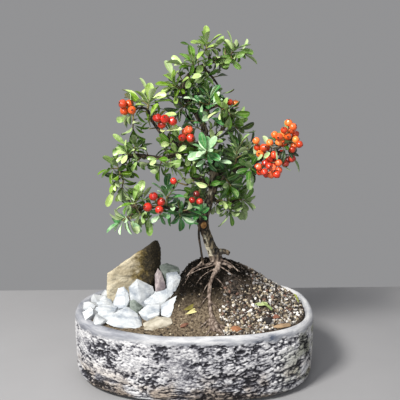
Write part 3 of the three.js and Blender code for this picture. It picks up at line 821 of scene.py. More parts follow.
@dataclass(frozen=True)
class Twig(Finish):
    """Young shoots and stalks: green-brown, thin-skinned and slightly glossy."""

    dark: str
    pale: str

    def build(self) -> Material:
        """Returns the material."""
        mix = Recipe(self.title, Roughness=0.6)
        tone = mix.weighed(mix.cloud((3, 3, 5), 3), 0.35, 0.65)
        return mix.done(mix.blended(tone, self.dark, self.pale))


@dataclass(frozen=True)
class LeafSkin(Finish):
    """Evergreen leaf, waxy above and dull below. Its own tone, from old to young, is its
    shade, and the rib and side veins follow the blade."""

    old: str
    ripe: str
    young: str
    rib: str
    roughness: float = 0.34
    wax: float = 0.45

    def build(self) -> Material:
        """Mixes the green, its rib and its side veins.

        Returns:
            The material, which reads each leaf's shade and its UV map.
        """
        mix = Recipe(self.title, Roughness=self.roughness, Coat_Weight=self.wax,
                     Coat_Roughness=0.24, Specular_IOR_Level=0.4)
        tone = mix.summed(mix.stored("shade"), mix.cloud(5, 3), 0.6)
        green = mix.graded(tone, (0.05, self.old), (0.5, self.ripe), (0.95, self.young))
        across, along, _ = mix.parts(mix.surface())
        side = mix.math("ABSOLUTE", mix.math("SUBTRACT", across, 0.5))
        rib = mix.weighed(side, 0.07, 0.015)
        rows = mix.math("MULTIPLY_ADD", along, 14.0, mix.product(side, -9.0))
        veins = mix.weighed(mix.math("PINGPONG", rows, 1.0), 0.18, 0.0)
        lines = mix.math("MAXIMUM", rib, mix.product(veins, 0.14))
        base = mix.blended(mix.product(lines, 0.42), green, self.rib)
        return mix.done(base, lines, 0.25)


@dataclass(frozen=True)
class BerrySkin(Finish):
    """Ripe pome: a tight waxy skin, deeper in colour towards the calyx and paler towards the stalk.
    """

    deep: str
    ripe: str
    bright: str

    def build(self) -> Material:
        """Mixes three reds.

        Returns:
            The material, which reads each berry's shade and its UV map.
        """
        mix = Recipe(self.title, Roughness=0.32, Coat_Weight=0.35, Coat_Roughness=0.18,
                     Subsurface_Weight=0.12, Subsurface_Scale=2.5 * MM)
        _, along, _ = mix.parts(mix.surface())
        tone = mix.summed(mix.stored("shade"), mix.cloud(4, 2), 0.5)
        tone = mix.summed(tone, along, -0.25)
        return mix.done(mix.graded(tone, (0.05, self.deep), (0.5, self.ripe), (0.95, self.bright)))


@dataclass(frozen=True)
class Plain(Finish):
    """A dry matt surface with a faint mottle: withered calyx, or the painted shelf."""

    dark: str
    pale: str
    size: float
    roughness: float

    def build(self) -> Material:
        """Returns the material."""
        mix = Recipe(self.title, Roughness=self.roughness, Specular_IOR_Level=0.3)
        return mix.done(mix.blended(mix.cloud(self.size, 3), self.dark, self.pale))


# ---- pot


@dataclass(frozen=True)
class Oval:
    """The pot's outline: a superellipse, rounder at its left end than at its right."""

    half_x: float
    half_y: float
    left: float = 2.15
    right: float = 2.65
    blend: float = 60.0

    def power(self, x: Rows | float) -> Rows | float:
        """Returns the exponent at x: 2 is an ellipse, and more is squarer."""
        return self.left + (self.right - self.left) * smoothstep(-self.blend, self.blend, x)

    def ring(self, inset: float, z: float, count: int) -> Rows:
        """Evenly spaced points round the outline.

        Args:
            inset: How far inside the outline they lie.
            z: Their height.
            count: How many there are.

        Returns:
            Rows of x, y, z.
        """
        a, b = self.half_x - inset, self.half_y - inset
        turn = np.linspace(0, 2 * math.pi, 20 * count + 1)
        c, s = np.cos(turn), np.sin(turn)
        share = 2 / self.power(a * c)
        x, y = a * np.sign(c) * np.abs(c) ** share, b * np.sign(s) * np.abs(s) ** share
        run = np.concatenate([[0], np.cumsum(np.hypot(np.diff(x), np.diff(y)))])
        even = np.linspace(0, run[-1], count, endpoint=False)
        return np.stack([np.interp(even, run, x), np.interp(even, run, y),
                         np.full(count, z)], axis=1)

    def reach(self, x: Rows | float, y: Rows | float, inset: float) -> Rows | float:
        """Returns 1 on the outline that lies inset inside this one, and less within it."""
        power = self.power(x)
        return (np.abs(x) / (self.half_x - inset)) ** power + (
            np.abs(y) / (self.half_y - inset)) ** power


@dataclass
class Pot:
    """The rough oval pot."""

    oval: Oval
    wall: float = 12.0
    floor: float = 13.0
    drain_radius: float = 7.0
    drain_x: float = 60.0
    sectors: int = 640
    row: float = 1.15
    hollow_depth: float = 2.5
    broad_lip: float = 4.5
    band: Point = (80.0, 84.5)
    outside: tuple = ((17, 0), (16.4, 2.4), (11.5, 3.4), (6.6, 4.6), (3.2, 8.2), (1.2, 14),
                      (0.3, 23), (0, 40), (0, 60), (0, 76), (0.2, 83), (1.2, 88.6),
                      (4.6, 91.8), (8, 91.2), (10.8, 87.6))
    finish: WashedStoneware = WashedStoneware("slip-washed stoneware")

    def section(self, inset: float, z: float) -> Rows:
        """A ring of the wall or of the lip, which is broader round the left end.

        Args:
            inset: How far inside the outline it lies.
            z: Its height.

        Returns:
            Rows of x, y, z.
        """
        ring = self.oval.ring(inset, max(z, 0), self.sectors)
        over = smoothstep(3, 10.8, inset) * (z > self.band[0])
        left = smoothstep(-20, -120, ring[:, 0])
        across = np.hypot(ring[:, 0], ring[:, 1])
        ring[:, :2] *= (1 - self.broad_lip * over * left / across)[:, None]
        return ring

    def shape(self) -> Thing:
        """Wraps the skin over its rings, and drills the drain holes.

        Returns:
            The smooth pot.
        """
        profile = smooth_path([(i, 0, z) for i, z in self.outside], self.row)
        rings = [self.section(inset, z) for inset, _, z in profile]
        inside = [(self.wall, 78), (self.wall, 45), (self.wall, self.floor + 2),
                  (self.wall + 3, self.floor), (60, self.floor)]
        rings += [self.oval.ring(inset, z, self.sectors) for inset, z in inside]
        foot = [self.oval.ring(inset, 0, self.sectors) for inset in (60, 25)]
        middle = [np.tile([0.0, 0.0, z], (self.sectors, 1)) for z in (0, self.floor)]
        pot = wrapped("pot_shell", np.array([middle[0], *foot, *rings, middle[1]]))
        for side in (-1, 1):
            bpy.ops.mesh.primitive_cylinder_add(
                vertices=32, radius=self.drain_radius * MM, depth=3 * self.floor * MM,
                location=(side * self.drain_x * MM, 0, self.floor / 2 * MM))
            plug = bpy.context.object
            put_on(pot, "BOOLEAN", object=plug, operation="DIFFERENCE", solver="EXACT")
            bpy.data.objects.remove(plug)
        return pot

    def hollows(self, points: Rows) -> Rows:
        """How deep the rough wall is hollowed: in speckles on the left, between cracked plates
        on the right and in layers near the foot.

        Args:
            points: Rows of x, y, z.

        Returns:
            0 to 1 for each point.
        """
        warp = fbm(points, (17, 17, 9), 2, 5.0)
        bent = points + np.outer(warp, [5.0, 5.0, 2.6])
        clump = fbm(points, (40, 40, 22), 2, 4.0)
        broad = fbm(bent, (13, 13, 6), 3)
        fine = fbm(bent, (4.6, 4.6, 2.6), 3, 9.0)
        plated = smoothstep(-55, 35, points[:, 0] + 30 * clump)
        speckled = smoothstep(0.05, 0.7, 0.85 * fine + 0.4 * broad + 0.9 * clump)
        joints = smoothstep(0.24, 0.03, cells(bent, (12, 12, 5.6), 4.0) + 0.12 * fine)
        gouged = smoothstep(0.1, 0.7, 0.5 * broad + 0.65 * fine + 0.4 * clump)
        layers = smoothstep(0.15, 0.5, fbm(bent, (46, 46, 2.6), 3, 7.0))
        layers = 0.9 * layers * smoothstep(40, 16, points[:, 2] + 8 * clump)
        joints = np.maximum(joints * smoothstep(-0.55, 0.05, broad + fine), gouged)
        return np.clip(np.maximum(speckled * (1 - plated) + joints * plated, layers), 0, 1)

    def build(self) -> Thing:
        """Roughens the wall, and leaves the lip smooth.

        Returns:
            The finished pot.
        """
        pot = self.shape()
        points, normals = points_of(pot), normals_of(pot)
        height = points[:, 2]
        outer = self.oval.reach(points[:, 0], points[:, 1], 5.0) > 1
        wave = 4.2 * fbm(points, (15, 15, 40), 3, 6.0)
        below = smoothstep(self.band[1], self.band[0], height + wave)
        rough = below * smoothstep(0.5, 7.0, height) * outer
        pit = np.zeros(len(points))
        pit[rough > 0] = self.hollows(points[rough > 0])
        ripple = 0.3 * (fbm(points, (9, 9, 5), 2, 1.0) - 0.6) * smoothstep(1, 6, height)
        inward = rough * pit * self.hollow_depth - ripple.clip(-1, 0) * outer
        move_points(pot, points - normals * inward[:, None])
        paint(pot, "pit", rough * pit)
        paint(pot, "lip", (1 - below) * smoothstep(60, 70, height))
        pot.data.materials.append(self.finish.build())
        pot.data.shade_smooth()
        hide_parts("pot")
        return pot


# ---- soil and grit


@dataclass
class Soil:
    """Soil that fills the pot and is heaped under the trunk.

    Reaches are how far the mound spreads to the left, right, front and back.
    """

    oval: Oval
    rim: float = 89.0
    top: float = 64.0
    middle: Point = (30.0, 2.0)
    reaches: Point = (56, 80, 50, 70)
    damp_middle: Point = (22, 8)
    wall: float = 12.0
    gap: float = 0.3
    floor: float = 13.3
    sectors: int = 300
    rings: int = 92
    finish: Loam = Loam("moist potting soil")

    def height(self, x: Rows | float, y: Rows | float) -> Rows:
        """The level of the soil without its crumbs.

        Args:
            x: Places along the pot.
            y: Places across it.

        Returns:
            The height at each.
        """
        dx, dy = x - self.middle[0], y - self.middle[1]
        left, right, front, back = self.reaches
        sideways = np.where(dx < 0, np.abs(dx / left) ** 4, (dx / right) ** 2)
        depthways = np.where(dy < 0, np.abs(dy / front) ** 3, np.abs(dy / back) ** 2.5)
        power = self.oval.power(x)
        reach = self.oval.reach(x, y, self.wall)
        fade = 1 - np.minimum(1, reach ** (10 / power))
        return self.rim + self.top * np.exp(-sideways - depthways) * fade

    def gritty(self, points: Rows) -> Rows:
        """How thickly grit covers the soil.

        Args:
            points: Rows of x, y and any z.

        Returns:
            0 to 1 for each point.
        """
        x, y = points[:, 0], points[:, 1]
        patchy = fbm(points * [1, 1, 0], 30, 2, 2.0)
        edge = 34 + 0.2 * (y + 60) + 9 * patchy
        low = smoothstep(141, 122, self.height(x, y) + 8 * patchy)
        return smoothstep(-9, 9, x - edge) * low

    def build(self) -> Thing:
        """Makes the bed with its mound and crumbs.

        Returns:
            The soil.
        """
        inset = self.wall + self.gap
        full = self.oval.ring(inset, 0, self.sectors)
        rings = [np.tile([0.0, 0.0, self.floor], (self.sectors, 1))]
        rings += [full * s + UP * self.floor for s in (0.5, 1)]
        rings += [full + UP * z for z in (40.0, 70.0, self.rim - 3)]
        for share in np.linspace(1, 0, self.rings) ** 0.9:
            rings.append(full * share + UP * self.rim)
        soil = wrapped("soil_bed", np.array(rings))
        points = points_of(soil)
        top = points[:, 2] > self.rim - 1
        ground = points[top]
        grit = self.gritty(ground)
        crumbs = 1.5 * fbm(ground, 7, 4) + 0.6 * fbm(ground, 2.6, 2, 3.0)
        points[top, 2] = self.height(ground[:, 0], ground[:, 1]) + crumbs * (1 - 0.4 * grit)
        move_points(soil, points)
        x, y = self.damp_middle
        away = np.hypot(ground[:, 0] - x, 0.8 * (ground[:, 1] - y))
        darkened = smoothstep(78, 44, away + 8 * fbm(ground, 22, 2, 5.0))
        humus = darkened * smoothstep(-56, -34, ground[:, 1])
        for name, values in (("humus", humus), ("grit", grit)):
            everywhere = np.zeros(len(points))
            everywhere[top] = values
            paint(soil, name, everywhere)
        soil.data.materials.append(self.finish.build())
        soil.data.shade_smooth()
        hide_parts("soil")
        return soil


class GritKind(Enum):
    """Kinds of loose grain, with their colours and their share of the cover."""

    PERLITE = ("perlite", "#a5a097", "#e1ded9", 0.2)
    PUMICE = ("tan_pumice", "#6a5e4e", "#b1a58d", 0.26)
    GRANITE = ("grey_granite", "#4b4946", "#969391", 0.2)
    LAVA = ("red_lava", "#3e2d26", "#785d50", 0.09)
    CHARCOAL = ("dark_bark", "#110e0c", "#483f37", 0.25)


@dataclass
class Cover:
    """Loose grains that lie on the soil: grit on the right, crumbs on the mound."""

    soil: Soil
    grains: int = 3300
    crumbs: int = 1700
    smallest: float = 1.7
    largest: float = 5.6
    keep_off: tuple = ((31, -3, 10), (20, -44, 5), (24, -59, 6), (27, -69, 8), (28, -76, 6))
    grit_area: tuple = ((20, 148), (-92, 92))
    crumb_area: tuple = ((-62, 88), (-88, 88))
    seed: int = 61

    def template(self, number: int) -> Template:
        """A broken grain of about 1 mm radius.

        Args:
            number: Which of the shapes it is.

        Returns:
            The shape.
        """
        grain, points = ball(subdivisions=1)
        draw = Draws(900 + number)
        points *= np.array([[0.72 + 0.5 * draw()] for _ in points])
        return Template.of(grain, points)

    def free(self, x: float, y: float, radius: float) -> bool:
        """Is a grain here clear of the pot's wall and of what stands in the soil?"""
        inside = self.soil.oval.reach(x, y, self.soil.wall + radius) <= 1
        return inside and all(
            math.hypot(x - a, y - b) > r + 0.6 * radius for a, b, r in self.keep_off)

    def grain(self, draw: Draws) -> tuple[GritKind, Point, float] | None:
        """Draws a grain of the grit: pumice and stone low down, and more bark up the mound.

        Args:
            draw: Gives its place, radius and kind.

        Returns:
            Its kind, place and radius, or None where no grain is wanted or free to lie.
        """
        x, y = (draw.within(*side) for side in self.grit_area)
        radius = 0.5 * (self.smallest + (self.largest - self.smallest) * draw() ** 2.2)
        chance = self.soil.gritty(np.array([[x, y, 0.0]]))[0]
        if draw() > chance or not self.free(x, y, radius):
            return None
        high = smoothstep(112, 136, self.soil.height(x, y))
        shares = np.cumsum([kind.value[3] for kind in GritKind])
        number = int(np.searchsorted(shares, min(1.0, draw() + 0.45 * high)))
        return list(GritKind)[min(number, 4)], (x, y), radius

    def crumb(self, draw: Draws) -> tuple[GritKind, Point, float] | None:
        """Draws a crumb of the mound: dark, and some earthy ones at the front.

        Args:
            draw: Gives its place, radius and kind.

        Returns:
            Its kind, place and radius, or None where it isn't free to lie.
        """
        x, y = (draw.within(*side) for side in self.crumb_area)
        radius = 0.45 + 1.3 * draw() ** 2.5
        if not self.free(x, y, radius):
            return None
        earthy = y < -34 and draw() < 0.4
        return GritKind.PUMICE if earthy else GritKind.CHARCOAL, (x, y), radius

    def place(self, pile: Pile, shape: Template, spot: Point, radius: float, draw: Draws) -> None:
        """Lays one grain on the soil.

        Args:
            pile: Where its mesh goes.
            shape: Its shape.
            spot: Its x and y.
            radius: Its radius.
            draw: Gives its turn and proportions.
        """
        turn = draw.spin(draw.way())
        scale = np.array([1.0 + 0.35 * draw(), 0.75 + 0.3 * draw(), 0.6 + 0.3 * draw()])
        z = self.soil.height(*spot) + radius * (0.15 + 0.5 * draw())
        points = (shape.points * scale * radius) @ turn.T + [*spot, z]
        pile.add(points, shape, shade=draw())

    def build(self) -> list[Thing]:
        """Lays the grit, and then the crumbs.

        Returns:
            One object for each kind of grain.
        """
        draw = Draws(self.seed)
        shapes = [self.template(i) for i in range(6)]
        piles = {kind: Pile() for kind in GritKind}
        for wanted, drawn in ((self.grains, self.grain), (self.crumbs, self.crumb)):
            laid = tries = 0
            while laid < wanted and tries < 12 * wanted:
                tries += 1
                found = drawn(draw)
                if found:
                    kind, spot, radius = found
                    self.place(piles[kind], shapes[laid % 6], spot, radius, draw)
                    laid += 1
        made = []
        for kind, pile in piles.items():
            title, dark, pale, _ = kind.value
            grit = pile.build(f"grit_{title}")
            grit.data.shade_flat()
            grit.data.materials.append(Grit(title, dark, pale).build())
            made.append(grit)
        return made


@dataclass
class Chip:
    """A larger loose piece on the soil, such as bark or lava."""

    title: str
    spot: Point
    half: Point
    turn: float
    dark: str
    pale: str
    seed: int

    def build(self, soil: Soil) -> Thing:
        """Makes the chip.

        Args:
            soil: What it lies on.

        Returns:
            The chip, half sunk in the grit.
        """
        chip, points = ball(subdivisions=3)
        chip.name = chip.data.name = self.title
        points = broken(points, Draws(self.seed), 9, 0.5) * self.half
        points += 0.25 * unit(points) * fbm(points, 1.6, 2)[:, None]
        turn = np.array(Matrix.Rotation(math.radians(self.turn), 3, "Z"))
        x, y = self.spot
        lift = soil.height(x, y) + 0.45 * self.half[2]
        move_points(chip, points @ turn.T + [x, y, lift])
        paint(chip, "shade", np.full(len(points), 0.5))
        chip.data.materials.append(Grit(self.title, self.dark, self.pale).build())
        return chip


# ---- stones


@dataclass
class BrokenStone:
    """A stone of the heap: the broken flats of its solid, grained, with chipped edges."""

    node: str
    finish: Finish
    voxel: float = 0.9
    grain: float = 0.3
    chip: float = 0.7
    seed: int = 1

    def flats(self, stone: Thing) -> tuple[Rows, Rows]:
        """Finds the flats that bound a stone.

        Args:
            stone: A convex stone, or nearly so.

        Returns:
            The outward direction of each outer flat, and how far out it lies.
        """
        points = points_of(stone)
        ways = np.array([face.normal for face in stone.data.polygons])
        first = np.array([face.vertices[0] for face in stone.data.polygons])
        reach = (ways * points[first]).sum(axis=1)
        outer = (points @ ways.T).max(axis=0) < reach + 0.05
        return ways[outer], reach[outer]

    def build(self) -> Thing:
        """Grains the flats of the solid, and chips their edges.

        Returns:
            The finished stone.
        """
        stone = copy_of(self.node, f"{self.node}_rough")
        ways, reach = self.flats(stone)
        put_on(stone, "REMESH", mode="VOXEL", voxel_size=self.voxel * MM)
        points = points_of(stone)
        over = points @ ways.T - reach
        nearest = over.argmax(axis=1)
        near = over.max(axis=1) > -self.voxel
        outward = np.where(near[:, None], ways[nearest], normals_of(stone))
        points -= (near * over.max(axis=1))[:, None] * outward
        ranked = np.sort(np.where(ways @ ways[nearest].T > 0.94, -99.0, over.T), axis=0)[-1]
        edge = smoothstep(-2.2, 0.0, ranked)
        rough = fbm(points, 4.5, 4, self.seed)
        broad = fbm(points, 15, 2, 2.0 * self.seed)
        push = self.grain * rough + 0.6 * broad - self.chip * edge * (0.5 + rough.clip(-0.5, 0.8))
        move_points(stone, points + outward * push[:, None])
        crease(stone, 38)
        stone.data.materials.append(self.finish.build())
        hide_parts(self.node)
        return stone


@dataclass
class Rubble:
    """Small broken marble between the stones of the heap and against the pot's lip."""

    soil: Soil
    finish: Marble
    beside_lip: tuple = ((-133, -32, 10), (-135, -10, 11), (-131, 14, 11), (-118, 26, 11),
                         (-120, 11, 9), (-119, -52, 9), (-104, 25, 9))
    scattered: int = 34
    seed: int = 83

    def lump(self, shape: Template, radius: float, draw: Draws) -> Rows:
        """Breaks one piece from a ball.

        Args:
            shape: A ball of radius 1.
            radius: About half the piece's width.
            draw: Gives its flats, proportions and turn.

        Returns:
            Its points about the origin.
        """
        points = broken(shape.points, draw, 16, 0.42)
        points *= [1.3 + 0.3 * draw(), 1.1 + 0.2 * draw(), 1.0 + 0.2 * draw()]
        return (points * radius) @ draw.spin().T

    def build(self) -> Thing:
        """Lays the pieces by the lip, and then those between the stones.

        Returns:
            All of them, as one object.
        """
        draw = Draws(self.seed)
        boxes = [np.array(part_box(f"white_stone_{i:02d}"))[:, :2] / MM for i in range(1, 14)]
        spots = list(self.beside_lip)
        tries = 0
        while len(spots) < self.scattered and tries < 4000:
            tries += 1
            x, y, radius = draw.within(-134, -22), draw.within(-52, 36), 2.2 + 3.2 * draw() ** 2
            inside = [((low + 1 < (x, y)) & ((x, y) < high - 1)).all() for low, high in boxes]
            near = min(max(*(low - (x, y)), *((x, y) - high)) for low, high in boxes)
            if not any(inside) and near < 5 and self.soil.oval.reach(x, y, 17 + radius) < 1:
                spots.append((x, y, radius))
        pile = Pile()
        shape = Template.of(*ball(subdivisions=4))
        for x, y, radius in spots:
            lift = self.soil.height(x, y) + 0.5 * radius
            pile.add(self.lump(shape, radius, draw) + [x, y, lift], shape)
        rubble = pile.build("marble_rubble")
        crease(rubble, 20)
        rubble.data.materials.append(self.finish.build())
        return rubble


@dataclass
class StandingStone:
    """The upright slab: its solid, chipped along its edges."""

    node: str = "standing_stone"
    voxel: float = 1.1
    finish: FieldStone = FieldStone("weathered sandstone")

    def build(self) -> Thing:
        """Weathers the solid.

        Returns:
            The slab.
        """
        stone = copy_of(self.node, "upright_slab")
        put_on(stone, "BEVEL", width=1.6 * MM, segments=2, limit_method="ANGLE",
               angle_limit=math.radians(20))
        put_on(stone, "REMESH", mode="VOXEL", voxel_size=self.voxel * MM)
        points, normals = points_of(stone), normals_of(stone)
        steps = cells(points, (16, 9, 12), 3.0)
        push = 1.5 * fbm(points, (16, 16, 11), 5, 2.0) - 0.3 * (1 - smoothstep(0, 0.25, steps))
        move_points(stone, points + normals * push[:, None])
        # Darker towards the right end: moss, and painted shade of the side turned away from the key
        # light.
        darkened = smoothstep(-104, -52, points[:, 0] + 9 * fbm(points, 18, 3, 5.0))
        paint(stone, "darkened", darkened)
        stone.data.shade_smooth()
        stone.data.materials.append(self.finish.build())
        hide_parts(self.node)
        return stone


# ---- wood


TRUNK = [
    (31, -3, 131, 8), (31, -4, 145, 9.5), (30, -5, 155, 8.5), (27, -5, 168, 7.2),
    (18, -7, 184, 7), (13, -9, 201, 7), (13, -9, 219, 7.4), (18, -7, 235, 6),
    (25, -4, 253, 5.6), (26, -2, 273, 5.6), (22, 0, 294, 5.1), (16, 2, 314, 4.5),
    (11, 4, 332, 3.9), (1, 6, 349, 3.5), (-10, 6, 365, 3.3), (-14, 5, 376, 3),
    (-10, 4, 387, 2.8), (-3, 2, 395, 2.5), (9, 0, 403, 2.3), (22, -3, 410, 2),
    (34, -6, 415, 1.7), (44, -8, 418, 1.3),
]
LIMBS = {
    "crown_fork": [(22, -3, 410, 1.8), (18, -5, 418, 1.5), (15, -6, 425, 1.2)],
    "left": [(22, 0, 295, 4), (4, -10, 303, 3.4), (-14, -18, 301, 3), (-35, -26, 296, 2.8),
        (-55, -30, 298, 2.6), (-72, -30, 300, 2.3), (-83, -28, 293, 2.1), (-89, -26, 280, 1.8),
        (-86, -25, 268, 1.5)],
    "upper_left": [(16, 2, 313, 3.5), (-6, -14, 306, 2.6), (-24, -24, 314, 2.4),
        (-39, -30, 327, 2.1), (-50, -32, 342, 1.9), (-55, -31, 355, 1.7), (-66, -34, 357, 1.4),
        (-73, -37, 355, 1.1)],
    "lower_left": [(14, -9, 217, 3.4), (-5, -18, 225, 2.7), (-22, -26, 231, 2.4),
        (-42, -32, 236, 2.2), (-60, -34, 236, 1.9), (-74, -33, 236, 1.6), (-81, -30, 246, 1.3)],
    "left_tip": [(-60, -34, 236, 1.6), (-72, -37, 231, 1.4), (-80, -39, 226, 1.1)],
    "hook": [(26, -4, 251, 3.2), (12, -16, 265, 2.2), (-1, -24, 270, 1.9), (-9, -28, 262, 1.4)],
    "right": [(26, -4, 255, 3.8), (39, -10, 268, 3), (52, -14, 277, 2.6), (66, -18, 284, 2.3),
        (80, -22, 291, 2.1), (92, -24, 300, 1.9), (104, -24, 308, 1.6), (112, -23, 318, 1.3)],
    "right_spur": [(98, -24, 304, 1.5), (108, -20, 300, 1.3), (114, -16, 297, 1.1)],
    "upright": [(17, 2, 311, 3), (29, 5, 319, 2.3), (40, 9, 329, 2), (49, 12, 338, 1.6),
        (50, 14, 346, 1.2)],
    "lower_right": [(21, -6, 241, 3), (36, 4, 231, 2.3), (51, 14, 231, 2), (62, 22, 233, 1.5)],
    "high_right": [(9, 0, 403, 2), (20, 6, 394, 1.7), (29, 10, 382, 1.4), (32, 11, 374, 1.1)],
    "middle": [(5, 5, 343, 2.6), (17, -4, 351, 2), (29, -10, 357, 1.7), (39, -12, 358, 1.2)],
    "front": [(24, -2, 279, 3), (21, -20, 291, 2.2), (17, -36, 302, 1.5)],
    "back_right": [(25, -3, 265, 3.4), (38, 20, 268, 2.6), (52, 42, 275, 2), (60, 56, 283, 1.4)],
    "back_left": [(18, 1, 305, 3), (6, 24, 299, 2.4), (-12, 44, 293, 2), (-24, 56, 293, 1.4)],
    "back_high": [(-6, 6, 360, 2.6), (0, 24, 364, 2), (8, 42, 366, 1.4)],
    "back_low": [(19, -7, 237, 3), (18, 14, 235, 2.3), (16, 34, 231, 1.8), (12, 48, 229, 1.3)],
    "cut_stub": [(27, -5, 165, 5), (38, -7, 169, 3.8), (46, -8, 166, 2.8)],
    "thin_stem": [(12, -13, 151, 1.7), (9, -14, 175, 1.6), (6, -14, 199, 1.5), (11, -11, 219, 1.4)],
}
ROOTS = {
    "main": [(31, -4, 153, 5.4), (31, -12, 152, 4.2), (29, -20, 148, 3.2), (23, -29, 141, 2.6),
        (19, -36, 130, 2.3), (19, -44, 119, 2.2), (20, -51, 109, 2.5), (22, -59, 100, 3.8),
        (24, -68, 93, 6.2), (25, -76, 88, 4.5)],
    "right": [(33, -5, 153, 4.2), (46, -8, 150, 2.4), (60, -12, 141, 1.7), (72, -16, 131, 1.2)],
    "left": [(28, -6, 153, 3.6), (14, -10, 151, 1.8), (0, -14, 148, 1.3), (-10, -20, 140, 0.9)],
    "back": [(31, -2, 153, 5), (33, 14, 152, 3.4), (38, 30, 146, 2.4), (46, 44, 135, 1.6)],
}
FINE_ROOTS = [
    [(13, -12, 160, 1.2), (4, -16, 152, 0.9), (-6, -22, 143, 0.7), (-12, -26, 133, 0.6)],
    [(24, -24, 143, 1.0), (34, -32, 136, 0.8), (41, -40, 126, 0.6), (44, -48, 115, 0.5)],
    [(20, -40, 124, 0.9), (12, -46, 118, 0.7), (6, -52, 110, 0.6), (2, -60, 100, 0.5)],
    [(23, -58, 101, 1.6), (14, -64, 97, 1.1), (7, -69, 93, 0.8), (0, -72, 89, 0.6)],
    [(27, -66, 95, 1.8), (37, -70, 93, 1.2), (46, -74, 90, 0.8), (52, -76, 88, 0.6)],
    [(44, -8, 150, 1.5), (52, -20, 141, 1.0), (56, -30, 130, 0.7), (58, -38, 118, 0.6)],
    [(30, 2, 152, 1.8), (18, 14, 146, 1.2), (8, 26, 138, 0.8), (0, 38, 124, 0.6)],
    [(26, -14, 153, 1.1), (12, -19, 151, 0.8), (2, -22, 148, 0.7), (-8, -24, 143, 0.6)],
    [(26, -18, 149, 1.0), (15, -25, 146, 0.7), (8, -29, 141, 0.6), (2, -33, 134, 0.5)],
    [(24, -28, 142, 0.9), (16, -35, 134, 0.7), (11, -40, 126, 0.6), (9, -45, 118, 0.5)],
    [(34, -14, 151, 1.1), (43, -21, 147, 0.8), (51, -25, 142, 0.7), (60, -27, 136, 0.6)],
    [(20, -46, 117, 1.1), (27, -52, 111, 0.8), (32, -58, 104, 0.7), (37, -64, 97, 0.6)],
    [(22, -62, 98, 1.6), (14, -68, 93, 1.1), (8, -74, 90, 0.8), (4, -78, 89, 0.6)],
    [(26, -64, 97, 1.6), (33, -72, 92, 1.1), (40, -78, 90, 0.8), (45, -82, 89, 0.6)],
    [(28, -8, 158, 1.4), (18, -14, 155, 1.0), (6, -17, 153, 0.8), (-4, -19, 149, 0.6)],
    [(34, -8, 158, 1.4), (44, -12, 156, 1.0), (52, -15, 150, 0.8), (57, -17, 145, 0.6)],
    [(24, -66, 96, 2.2), (19, -74, 92, 1.6), (15, -79, 90, 1.1), (13, -84, 89, 0.7)],
    [(25, -68, 96, 2.2), (30, -76, 92, 1.6), (33, -81, 90, 1.1), (35, -85, 89, 0.7)],
]


